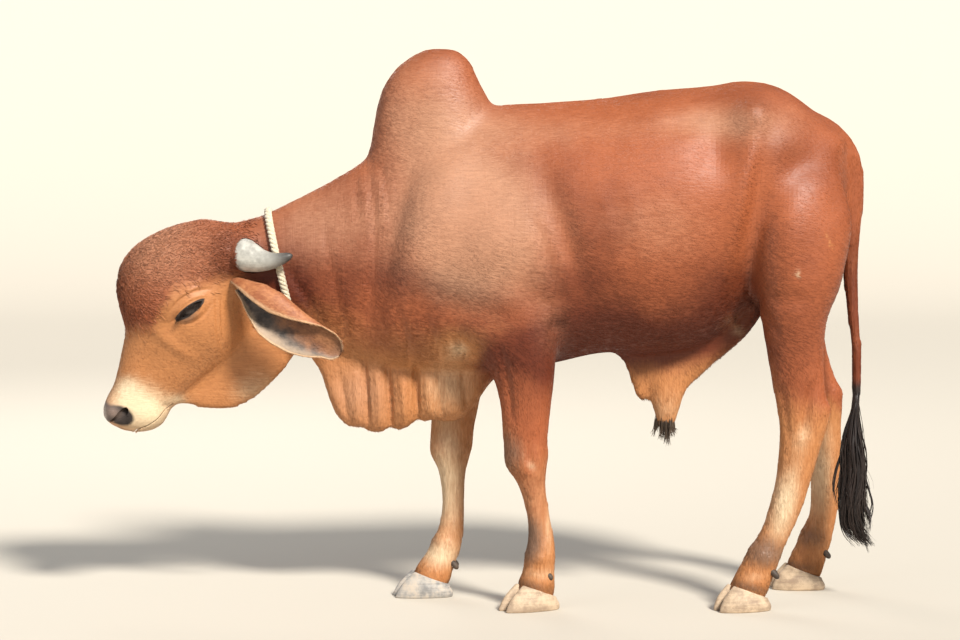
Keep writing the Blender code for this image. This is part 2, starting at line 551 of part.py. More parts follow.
def nearness(points, centre, reach, lean):
    """1 at the centre, falling off over its reach, for points measured on both sides alike."""
    away = np.abs(points * (0, 1, 0)) + points * (1, 0, 1) - np.array(centre)
    c, s = math.cos(math.radians(lean)), math.sin(math.radians(lean))
    along, up = away[:, 0] * c - away[:, 2] * s, away[:, 0] * s + away[:, 2] * c
    return np.exp(-((along / reach[0]) ** 2 + (away[:, 1] / reach[1]) ** 2 + (up / reach[2]) ** 2))


def relieved(obj, relief, one_side=0):
    """Moves the skin out or in over muscles, bones and hollows."""
    points, normals = coordinates(obj.data), coordinates(obj.data, "normal")
    push = np.zeros(len(points))
    for centre, reach, lean, amount in relief:
        push += amount * nearness(points, centre, reach, lean)
    if one_side:
        push[points[:, 1] * one_side < 0] = 0
    points += normals * push[:, None]
    obj.data.vertices.foreach_set("co", points.astype(np.float32).ravel())
    obj.data.update()


def fuse(name, forms, voxel, facets, relief, collection):
    """Melts overlapping lofts into one closed skin, shapes it, and thins it to about that many facets."""
    bm = bmesh.new()
    for obj in forms:
        bm.from_mesh(obj.data)
    obj = new_object(name, bm, collection)
    remesh = obj.modifiers.new("Fuse", "REMESH")
    remesh.mode = "VOXEL"
    remesh.voxel_size = voxel
    baked(obj)
    points = coordinates(obj.data)
    melt = sum(nearness(points, centre, (reach,) * 3, 0) for centre, reach in SOFT_AREAS)
    group = obj.vertex_groups.new(name="melt")
    for i, weight in enumerate(np.clip(melt, 0, 1)):
        group.add([i], float(weight), "REPLACE")
    even = obj.modifiers.new("Even", "SMOOTH")
    even.factor, even.iterations = 0.5, 5
    soften = obj.modifiers.new("Soften", "SMOOTH")
    soften.factor, soften.vertex_group = 0.5, "melt"
    soften.iterations = round(MELT_ROUNDS * (BODY_VOXEL / voxel) ** 2)
    baked(obj)
    relieved(obj, relief)
    for side, leg_relief in LEG_RELIEF.items():
        relieved(obj, leg_relief, side)
    thin = obj.modifiers.new("Thin", "DECIMATE")
    thin.ratio = facets / (2 * len(obj.data.polygons))
    return baked(obj)


def sheet(name, line, collection, y0=-0.4, y1=0.4, wall_foot=None, walls=(), thickness=GAP):
    """A thin cutter along a line seen from the side, with walls that hang from its edges."""
    bm = bmesh.new()
    rows = [[bm.verts.new((x, y, z)) for x, z in line] for y in (y0, y1)]
    for i in range(len(line) - 1):
        bm.faces.new((rows[0][i], rows[0][i + 1], rows[1][i + 1], rows[1][i]))
    for row, y in zip(rows, (y0, y1)):
        if y in walls:
            foot = [bm.verts.new((x, y, wall_foot)) for x, z in (line[-1], line[0])]
            bm.faces.new(row + foot)
    bmesh.ops.recalc_face_normals(bm, faces=bm.faces)
    obj = new_object(name, bm, collection)
    solid = obj.modifiers.new("Thickness", "SOLIDIFY")
    solid.thickness, solid.offset = thickness, 0
    return baked(obj)


def prism(name, outline, y0, y1, collection):
    return loft(name, [[Vector((x, y, z)) for x, z in outline] for y in (y0, y1)], collection)


def cut(obj, cutters, solver="MANIFOLD"):
    for cutter in cutters:
        boolean = obj.modifiers.new("Cut", "BOOLEAN")
        boolean.operation, boolean.solver, boolean.object = "DIFFERENCE", solver, cutter
    return baked(obj)


def grown(obj, name, collection, amount=GAP):
    made = copy_of(obj, name, collection)
    swell = made.modifiers.new("Swell", "DISPLACE")
    swell.strength, swell.mid_level = amount, 0
    return baked(made)


def loose_parts(obj):
    """The separate closed surfaces of a mesh, largest first, as new meshes."""
    bm = bmesh.new()
    bm.from_mesh(obj.data)
    left, parts = set(bm.verts), []
    while left:
        found, front = set(), [left.pop()]
        while front:
            vert = front.pop()
            found.add(vert)
            for edge in vert.link_edges:
                other = edge.other_vert(vert)
                if other in left:
                    left.discard(other)
                    front.append(other)
        parts.append(found)
    parts.sort(key=len, reverse=True)
    meshes = []
    for found in parts:
        index = {v: i for i, v in enumerate(found)}
        faces = [[index[v] for v in f.verts] for f in bm.faces if f.verts[0] in found]
        mesh = bpy.data.meshes.new("part")
        mesh.from_pydata([v.co for v in found], [], faces)
        meshes.append(mesh)
    bm.free()
    return meshes


def inside(mesh, point):
    """Whether a point is within a closed mesh, by counting crossings upward."""
    tree = BVHTree.FromPolygons([v.co for v in mesh.vertices], [p.vertices for p in mesh.polygons])
    origin, crossings = Vector(point), 0
    way = Vector((0.013, 0.021, 1)).normalized()
    while True:
        hit, _, _, _ = tree.ray_cast(origin, way)
        if hit is None:
            return crossings % 2 == 1
        crossings += 1
        origin = hit + way * 1e-5


def node(name, mesh, collection, coat, smooth=True):
    obj = bpy.data.objects.new(name, mesh)
    mesh.name = name
    collection.objects.link(obj)
    return finish(obj, coat, smooth)


def finish(obj, coat, smooth=True):
    material = bpy.data.materials.get(coat)
    if material is None:
        material = bpy.data.materials.new(coat)
        material.use_nodes = True
        shader = material.node_tree.nodes["Principled BSDF"]
        shader.inputs["Base Color"].default_value = (*COATS[coat], 1)
        shader.inputs["Roughness"].default_value = 0.6
    obj.data.materials.clear()
    obj.data.materials.append(material)
    obj.data.polygons.foreach_set("use_smooth", [smooth] * len(obj.data.polygons))
    return obj


def keep_largest(obj):
    parts = loose_parts(obj)
    obj.data = parts[0]
    return obj


def mirrored(rows):
    return [(r[0], -r[1], *r[2:]) for r in rows]


def ear_section(share):
    """Points across the ear as (up, outward), from its lower rim over the middle line to its free upper rim."""
    table = np.array(EAR_SECTIONS)
    top, rim, low, depth, turn = (float(np.interp(share, table[:, 0], table[:, c])) for c in range(1, 6))
    last = math.radians(turn)
    line = []
    for k in range(5):
        angle = last * (1 - k / 5)
        line.append((-low * math.sin(angle) / math.sin(min(last, math.pi / 2)), low * 0.45 * (1 - math.cos(angle))))
    last = math.pi - math.asin(max(-1, min(1, rim / top)))
    for k in range(7):
        angle = last * k / 6
        line.append((top * math.sin(angle), depth * (1 - math.cos(angle)) / 2))
    return line


def ear(name, side, collection):
    """A leaf whose upper half folds over toward the side, and whose lower half curls up to it."""
    count = 15
    rows = smooth_rows(EAR_LINE, count)
    length = np.linalg.norm(np.diff(rows, axis=0), axis=1)
    share = np.concatenate([[0], np.cumsum(length)]) / length.sum()
    up0 = Vector(EAR_UP)
    bm = bmesh.new()
    grid = []
    for i, row in enumerate(rows):
        ahead = Vector(rows[min(i + 1, count - 1)]) - Vector(rows[max(i - 1, 0)])
        up = (up0 - ahead * up0.dot(ahead) / ahead.length_squared).normalized()
        outward = ahead.cross(up).normalized()
        if outward.y < 0:
            outward = -outward
        line = []
        for rise, out in ear_section(share[i]):
            point = Vector(row) + up * rise + outward * out
            line.append(bm.verts.new((point.x, point.y * side, point.z)))
        grid.append(line)
    for a, b in zip(grid, grid[1:]):
        for k in range(len(a) - 1):
            bm.faces.new((a[k], a[k + 1], b[k + 1], b[k]))
    obj = new_object(name, bm, collection)
    solid = obj.modifiers.new("Thickness", "SOLIDIFY")
    solid.thickness, solid.offset = EAR_THICK, 0
    return baked(obj)


def coronet_height(ahead):
    """Height of the sloping edge between hair and hoof, by reach ahead of the foot's middle."""
    front, back = CORONET_TOP
    return CORONET_HEEL + (CORONET_FRONT - CORONET_HEEL) * (ahead + back) / (front + back)


def claw(name, x, y, kind, side, turn, collection):
    """One half of a cloven hoof: flat sole, sloping wall, cut off along the coronet."""
    rings = []
    spin = Matrix.Rotation(math.radians(turn), 4, "Z")
    for share in (0, 0.12, 0.4, 0.75, 1):
        front, back = (sole + (top - sole) * share for sole, top in zip(HOOF_REACH[kind], CORONET_TOP))
        swell = CLAW_SWELL * math.sin(math.pi * min(1, share + 0.12))
        ring = []
        for k in range(12):
            ahead, out = math.cos(math.tau * k / 12), math.sin(math.tau * k / 12)
            long = (front if ahead > 0 else back + swell) * bend(ahead, 2.3)
            taper = 1 - 0.30 * max(0, ahead) ** 2 * (1 - 0.4 * share)
            wide = (CLAW_HALF_WIDTH - 0.003 * share + (swell if out > 0 else 0)) * bend(out, 2.4) * taper
            inward = 0.006 * max(0, ahead) ** 2
            at_top = -back + (long + back) * (CORONET_TOP[0] + CORONET_TOP[1]) / (front + back)
            height = (coronet_height(at_top + back - CORONET_TOP[1]) - GAP) * share
            ring.append(Vector((x, y, 0)) + spin @ Vector((-long, side * (CLAW_SPREAD - inward + wide), height)))
        rings.append(ring)
    return finish(loft(name, rings, collection), "hoof")


def foot_parts(leg_name, joints, kind, bull, helpers):
    """The hooves and dewclaws of one leg, and the cutters that make room for them."""
    x, y, _ = joints[4]
    outline = [(x - reach, coronet_height(reach)) for reach in (0.13, -0.13)]
    outline += [(x + 0.13, -0.1), (x - 0.13, -0.1)]
    cutters = [prism("coronet", outline, y - 0.085, y + 0.085, helpers)]
    turn = FOOT_TURN[leg_name]
    middle = Matrix.Translation((x, y, 0))
    cutters[0].data.transform(middle @ Matrix.Rotation(math.radians(turn), 4, "Z") @ middle.inverted())
    fx, fy, fz = joints[3]
    for side in (-1, 1):
        outer = (side > 0) == (y > 0)
        name = "_" + leg_name + ("_outer" if outer else "_inner")
        claw("claw" + name, x, y, kind, side, turn, bull)
        rows = [(fx + back, fy + side * out, fz + up, r) for back, out, up, r in DEWCLAW_LINE]
        finish(tube("dewclaw" + name, rows, bull, sides=6, count=5), "hoof")
        cutters.append(tube("dewclaw_socket", rows, helpers, sides=6, count=5, extra=GAP * 1.4))
    return cutters


def collar(body, collection):
    """A rope pulled round the neck, as a round bar along the hull of the neck's section."""
    top, foot = (Vector((x, 0, z)) for x, z in COLLAR_PLANE)
    up, middle = (top - foot).normalized(), (top + foot) / 2
    hits = []
    for k in range(90):
        way = up * math.cos(math.tau * k / 90) + Vector((0, 1, 0)) * math.sin(math.tau * k / 90)
        found, place, _, _ = body.ray_cast(middle, way)
        if found:
            hits.append(((place - middle).dot(up), place.y))
    hull = [Vector(hits[i]) for i in geometry.convex_hull_2d(hits)]
    hull.append(hull[0])
    steps = [0.0]
    for a, b in zip(hull, hull[1:]):
        steps.append(steps[-1] + (b - a).length)
    count = 32
    places = np.linspace(0, steps[-1], count, endpoint=False)
    flat = np.array([[np.interp(p, steps, [h[c] for h in hull]) for c in (0, 1)] for p in places])
    for _ in range(3):
        flat = (np.roll(flat, 1, 0) + 2 * flat + np.roll(flat, -1, 0)) / 4
    bm = bmesh.new()
    rings = []
    for i in range(count):
        along = flat[(i + 1) % count] - flat[i - 1]
        out = np.array([along[1], -along[0]]) / np.linalg.norm(along)
        if out @ flat[i] < 0:
            out = -out
        centre = flat[i] + out * (COLLAR_RADIUS * 0.9)
        ring = []
        for k in range(6):
            t = math.tau * k / 6
            spot = centre + out * COLLAR_RADIUS * math.cos(t)
            point = middle + up * float(spot[0]) + Vector((0, float(spot[1]), 0))
            ring.append(bm.verts.new(point + up.cross(Vector((0, 1, 0))) * COLLAR_RADIUS * math.sin(t)))
        rings.append(ring)
    for i in range(count):
        a, b = rings[i], rings[(i + 1) % count]
        for k in range(6):
            bm.faces.new((a[k], a[(k + 1) % 6], b[(k + 1) % 6], b[k]))
    bmesh.ops.triangulate(bm, faces=bm.faces[:], quad_method="FIXED")
    bmesh.ops.recalc_face_normals(bm, faces=bm.faces)
    return new_object("collar_rope", bm, collection)


def eyeball(name, side, collection, radius=EYE_RADIUS):
    bm = bmesh.new()
    bmesh.ops.create_uvsphere(bm, u_segments=12, v_segments=7, radius=radius)
    for vert in bm.verts:
        vert.co += Vector((EYE_CENTRE[0], side * EYE_CENTRE[1], EYE_CENTRE[2]))
    return new_object(name, bm, collection)


def eye_slit(side, collection):
    """An almond-shaped plug that opens the lids."""
    along = Vector((math.cos(EYE_TURN), 0, math.sin(EYE_TURN)))
    over = Vector((-math.sin(EYE_TURN), 0, math.cos(EYE_TURN)))
    length, height = EYE_SLIT
    rings = []
    for y in (EYE_CENTRE[1] + 0.003, EYE_CENTRE[1] + 0.08):
        middle = Vector((EYE_CENTRE[0], side * y, EYE_CENTRE[2]))
        ring = []
        for k in range(14):
            a, b = math.cos(math.tau * k / 14), math.sin(math.tau * k / 14)
            ring.append(middle + along * length * a + over * height * bend(b, 1.4))
        rings.append(ring)
    return loft("eye_slit", rings, collection)


def head_node(helpers, collection):
    forms = make_collection("head_forms", hidden=True)
    flesh_lofts(forms, whole=False)
    head = fuse("head", forms.objects, HEAD_VOXEL, HEAD_FACETS, HEAD_RELIEF, collection)
    cutters = [sheet("head_cut", HEAD_CUT, helpers)]
    cutters.append(sheet("mouth_cut", MOUTH_LINE, helpers, thickness=MOUTH_GAP))
    for side, name in ((-1, "left"), (1, "right")):
        rows = HORN_LINE if side > 0 else mirrored(HORN_LINE)
        horn = tube("horn_" + name, rows, collection, sides=12, count=10)
        finish(horn, "horn")
        cutters.append(tube("horn_socket", rows, helpers, sides=12, count=10, extra=GAP * 1.4))
        cutters.append(eye_slit(side, helpers))
        cutters.append(eyeball("eye_socket", side, helpers, EYE_RADIUS + GAP))
        finish(eyeball("eye_" + name, side, collection), "eye")
        rows = NOSTRIL_LINE if side > 0 else mirrored(NOSTRIL_LINE)
        cutters.append(tube("nostril", rows, helpers, sides=10, count=12))
    cut(head, cutters)
    keep_largest(head)
    return finish(head, "coat")


def lock(line, flat_side, width, thick, collection):
    """A flat tapering lock of hair along a line, its broad side toward flat_side."""
    rows = smooth_rows(line, LOCK_STEPS + 1)
    rings = []
    for i, row in enumerate(rows):
        ahead = Vector(rows[min(i + 1, LOCK_STEPS)]) - Vector(rows[max(i - 1, 0)])
        over = (flat_side - ahead * flat_side.dot(ahead) / ahead.length_squared).normalized()
        along = ahead.cross(over).normalized()
        share = i / LOCK_STEPS
        full = min(1, 0.5 + 2 * share) * (1 - share**2) ** 0.7
        wide, deep = width * max(full, 0.10), thick * max(full, 0.35)
        middle = Vector(row)
        rings.append([middle + along * wide, middle + over * deep, middle - along * wide, middle - over * deep])
    return loft("lock", rings, collection)


def switch_locks():
    """Locks laid round the switch, then the strays that leave it."""
    random = np.random.default_rng(4)
    locks = make_collection("switch_locks")
    shape = np.array(SWITCH_SHAPE)[::-1]
    for i in range(SWITCH_LOCKS):
        angle = math.tau * (i * 0.382 % 1)
        top = 0.50 - 0.14 * (i % 4) / 3
        foot = 0.145 + 0.11 * random.random()
        wave, phase = 0.004 + 0.003 * random.random(), random.random() * 2
        line = []
        for k in range(8):
            share = k / 7
            z = top + (foot - top) * share
            x, wide, deep = (float(np.interp(z, shape[:, 1], shape[:, c])) for c in (0, 2, 3))
            reach = min(1, 0.55 + 1.6 * share) * (1 - 0.15 * (i % 3))
            sway = wave * math.sin(38 * z + phase) * share
            line.append((x + wide * reach * math.cos(angle) + sway, deep * reach * math.sin(angle) + sway / 2, z))
        side = Vector((math.cos(angle), math.sin(angle), 0))
        lock(line, side, 0.0095, 0.0035, locks)
    for y, line in SWITCH_STRAYS:
        rows = [(x, y * k / (len(line) - 1), z) for k, (x, z) in enumerate(line)]
        lock(rows, Vector((0.3, -1, 0)), 0.0065, 0.0028, locks)
    return locks


def sheath_locks():
    locks = make_collection("sheath_locks")
    for x0, y0, x1, y1, z1 in SHEATH_TUFT:
        middle = ((x0 * 2 + x1) / 3, (y0 + y1) / 2, (SHEATH_TUFT_ROOT + z1) / 2)
        lock([(x0, y0, SHEATH_TUFT_ROOT), middle, (x1, y1, z1)], Vector((0.4, -1, 0)), 0.0055, 0.0026, locks)
    return locks


def tufted(obj, locks):
    """Joins a collection of locks to what they grow from, as one closed surface."""
    join = obj.modifiers.new("Join", "BOOLEAN")
    join.operation, join.solver = "UNION", "MANIFOLD"
    join.operand_type, join.collection = "COLLECTION", locks
    baked(obj)
    for made in list(locks.objects):
        bpy.data.objects.remove(made, do_unlink=True)
    bpy.data.collections.remove(locks)
    return keep_largest(obj)


def tail_parts(bull, helpers):
    """The hanging tail in two lengths and its switch, and the cutter that makes room for it in the rump."""
    rows = [tuple(float(v) for v in row) for row in smooth_rows([(x, 0, z, r) for x, z, r in TAIL_LINE], 17)]
    tail = tube("tail", rows, helpers, sides=10, count=17)
    below = [(0.8, SWITCH_TOP), (1.1, SWITCH_TOP), (1.1, 0), (0.8, 0)]
    above = [(0.8, SWITCH_TOP - GAP), (1.1, SWITCH_TOP - GAP), (1.1, 0.7), (0.8, 0.7)]
    cut(tail, [sheet("tail_cut", [(0.8, TAIL_PART), (1.1, TAIL_PART)], helpers),
               prism("below", below, -0.1, 0.1, helpers)])
    lengths = sorted(loose_parts(tail)[:2], key=lambda mesh: mesh.vertices[0].co.z)
    for name, mesh in zip(("tail_lower", "tail_upper"), lengths):
        node(name, mesh, bull, "coat")
    switch = tube("tail_switch", [(x, 0, z, r) for x, z, r in SWITCH_CORE], bull, sides=8, count=9)
    tufted(switch, switch_locks())
    finish(cut(switch, [prism("above", above, -0.1, 0.1, helpers)]), "black_hair")
    wide = [(x, y, z, r + 0.007 * max(0, 1 - i / 2)) for i, (x, y, z, r) in enumerate(rows)]
    wide[0] = (wide[0][0], 0, wide[0][2] + GAP, wide[0][3])
    return tube("tail_room", wide, helpers, sides=10, count=17, extra=GAP * 1.4)


def main():
    start()
    forms = make_collection("forms", hidden=True)
    helpers = make_collection("cutters", hidden=True)
    bull = make_collection("gir_bull")
    flesh_lofts(forms)
    body = fuse("body", forms.objects, BODY_VOXEL, BODY_FACETS, BODY_RELIEF, helpers)
    head = head_node(helpers, bull)
    rooms = [grown(obj, obj.name + "_room", helpers, 2 * GAP) for obj in (body, head)]
    rope = collar(body, bull)
    cut(rope, rooms)
    finish(keep_largest(rope), "rope")
    for side, name in ((-1, "left"), (1, "right")):
        leaf = ear("ear_" + name, side, bull)
        cut(leaf, rooms)
        finish(keep_largest(leaf), "coat")

    cutters = [
        sheet("head_cut", HEAD_CUT, helpers),
        sheet("neck_cut", NECK_CUT, helpers),
        sheet("hump_cut", HUMP_CUT, helpers),
        sheet("barrel_cut", BARREL_CUT, helpers),
        sheet("haunch_cut", HAUNCH_CUT, helpers),
        sheet("dewlap_cut", DEWLAP_CUT, helpers, -0.050, 0.050, 0.560, (-0.050, 0.050)),
        sheet("sheath_cut", SHEATH_CUT, helpers, -0.044, 0.044, 0.590, (-0.044, 0.044)),
        sheet("scrotum_cut", SCROTUM_CUT, helpers, -0.047, 0.047, 0.620, (-0.047, 0.047)),
        sheet("foreleg_cut", FORELEG_CUT, helpers, -0.40, -0.080, 0.555, (-0.080,)),
        sheet("far_foreleg_cut", [(x + FAR_FORELEG_SHIFT, z) for x, z in FORELEG_CUT], helpers,
              0.053, 0.40, 0.555, (0.053,)),
        sheet("hindleg_cut", HINDLEG_CUT, helpers, -0.40, -0.056, 0.620, (-0.056,)),
        sheet("far_hindleg_cut", HINDLEG_CUT, helpers, 0.056, 0.40, 0.620, (0.056,)),
        tail_parts(bull, helpers),
    ]
    for side in ("left", "right"):
        cutters += foot_parts("fore_" + side, FORE_JOINTS[side], "fore", bull, helpers)
        cutters += foot_parts("hind_" + side, HIND_JOINTS[side], "hind", bull, helpers)
    cut(body, cutters)
    for mesh in loose_parts(body):
        names = [name for name, seed in SEEDS.items() if inside(mesh, seed)]
        if len(names) == 1:
            made = node(names[0], mesh, bull, "coat")
            if names[0] == "sheath":
                finish(tufted(made, sheath_locks()), "coat")


main()
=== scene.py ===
# The looks of a Gir bull: one skin over its body, with coat, horns, hoofs, eyes, rope and switch.
# Metres, +Z up. The head points to -X and the bull's left side to -Y, as in the frame.
import math
import bmesh
import bpy
import numpy as np
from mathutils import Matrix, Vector, geometry
from mathutils.bvhtree import BVHTree
from mathutils.kdtree import KDTree


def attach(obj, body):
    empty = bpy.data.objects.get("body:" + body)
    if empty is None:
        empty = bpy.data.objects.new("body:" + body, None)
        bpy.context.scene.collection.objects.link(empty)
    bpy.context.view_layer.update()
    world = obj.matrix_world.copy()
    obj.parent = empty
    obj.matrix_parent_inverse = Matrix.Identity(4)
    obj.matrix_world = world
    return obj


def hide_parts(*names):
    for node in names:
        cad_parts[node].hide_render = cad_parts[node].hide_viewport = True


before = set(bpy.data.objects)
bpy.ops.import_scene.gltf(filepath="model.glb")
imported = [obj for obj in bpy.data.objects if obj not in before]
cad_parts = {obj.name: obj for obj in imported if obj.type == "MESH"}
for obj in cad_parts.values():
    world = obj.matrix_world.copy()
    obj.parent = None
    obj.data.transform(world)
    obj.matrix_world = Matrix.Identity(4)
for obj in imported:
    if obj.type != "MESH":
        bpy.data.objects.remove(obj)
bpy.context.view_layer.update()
sides = {"left": -1, "right": 1}  # and the sign of y there


def smoothRows(rows, count):  # a smooth curve through rows of numbers, at evenly spaced places
    rows = np.array(rows, float)
    steps = np.linalg.norm(np.diff(rows[:, :3], axis=0), axis=1) + 1e-6
    at = np.concatenate([[0], np.cumsum(steps)])
    slopes = np.diff(rows, axis=0) / steps[:, None]
    turn = np.empty_like(rows)
    turn[0], turn[-1] = slopes[0], slopes[-1]
    share = (steps[1:] / (steps[1:] + steps[:-1]))[:, None]
    turn[1:-1] = share * slopes[:-1] + (1 - share) * slopes[1:]
    want = np.linspace(0, at[-1], count)
    i = np.clip(np.searchsorted(at, want, side="right") - 1, 0, len(steps) - 1)
    h = steps[i][:, None]
    u = ((want - at[i]) / steps[i])[:, None]
    return ((2 * u**3 - 3 * u**2 + 1) * rows[i] + (u**3 - 2 * u**2 + u) * h * turn[i]
            + (3 * u**2 - 2 * u**3) * rows[i + 1] + (u**3 - u**2) * h * turn[i + 1])


def bend(value, power):
    return math.copysign(abs(value) ** (2 / power), value)


def circle(count):  # cosine and sine of evenly spaced turns
    return [(math.cos(math.tau * k / count), math.sin(math.tau * k / count)) for k in range(count)]


def unit(vectors):
    return vectors / np.maximum(1e-6, np.linalg.norm(vectors, axis=-1, keepdims=True))


def across(vectors, normals):  # what of them lies square to the normals
    return unit(vectors - normals * (vectors * normals).sum(-1, keepdims=True))


def risen(values):  # from 0 to 1 as the value passes 0
    return 1 / (1 + np.exp(-np.clip(values, -30, 30)))


def addLoft(bm, rings, closed=False):  # circles moved to each section and bridged, ends filled
    loops = []
    for ring in rings:
        verts = bmesh.ops.create_circle(bm, cap_ends=False, segments=len(ring), radius=1)["verts"]
        for vert, place in zip(verts, ring):
            vert.co = place
        loops.append(list(dict.fromkeys(edge for vert in verts for edge in vert.link_edges)))
    pairs = list(zip(loops, loops[1:])) + ([(loops[-1], loops[0])] if closed else [])
    for first, second in pairs:
        bmesh.ops.bridge_loops(bm, edges=first + second)
    if not closed:
        for loop in (loops[0], loops[-1]):
            bmesh.ops.edgeloop_fill(bm, edges=loop)


def asPiece(name, mesh):
    mesh.polygons.foreach_set("use_smooth", [True] * len(mesh.polygons))
    obj = bpy.data.objects.new(name, mesh)
    bpy.context.scene.collection.objects.link(obj)
    return obj


def newPiece(name, bm):
    bmesh.ops.recalc_face_normals(bm, faces=bm.faces)
    mesh = bpy.data.meshes.new(name)
    bm.to_mesh(mesh)
    bm.free()
    return asPiece(name, mesh)


def loftPiece(name, rings, closed=False):
    bm = bmesh.new()
    addLoft(bm, rings, closed)
    return newPiece(name, bm)


def applied(obj):  # the mesh as its modifiers leave it
    graph = bpy.context.evaluated_depsgraph_get()
    mesh = bpy.data.meshes.new_from_object(obj.evaluated_get(graph))
    obj.modifiers.clear()
    obj.data = mesh
    return obj


def modify(obj, kind, **settings):
    made = obj.modifiers.new(kind.title(), kind)
    for name, value in settings.items():
        setattr(made, name, value)


def read(items, what, width, kind=np.float32):
    values = np.empty(len(items) * width, kind)
    items.foreach_get(what, values)
    return values.reshape(-1, width)


def places(mesh, what="co"):
    return read(mesh.vertices, what, 3).astype(float)


def moveTo(mesh, points):
    mesh.vertices.foreach_set("co", points.astype(np.float32).ravel())
    mesh.update()


def nearness(points, centre, reach, lean=0):  # 1 at the centre, the same on both sides
    away = np.abs(points * (0, 1, 0)) + points * (1, 0, 1) - np.array(centre)
    c, s = math.cos(math.radians(lean)), math.sin(math.radians(lean))
    along, up = away[:, 0] * c - away[:, 2] * s, away[:, 0] * s + away[:, 2] * c
    return np.exp(-((along / reach[0]) ** 2 + (away[:, 1] / reach[1]) ** 2 + (up / reach[2]) ** 2))


def setMask(mesh, name, values):
    layer = mesh.attributes.get(name) or mesh.attributes.new(name, "FLOAT", "POINT")
    layer.data.foreach_set("value", values.astype(np.float32))


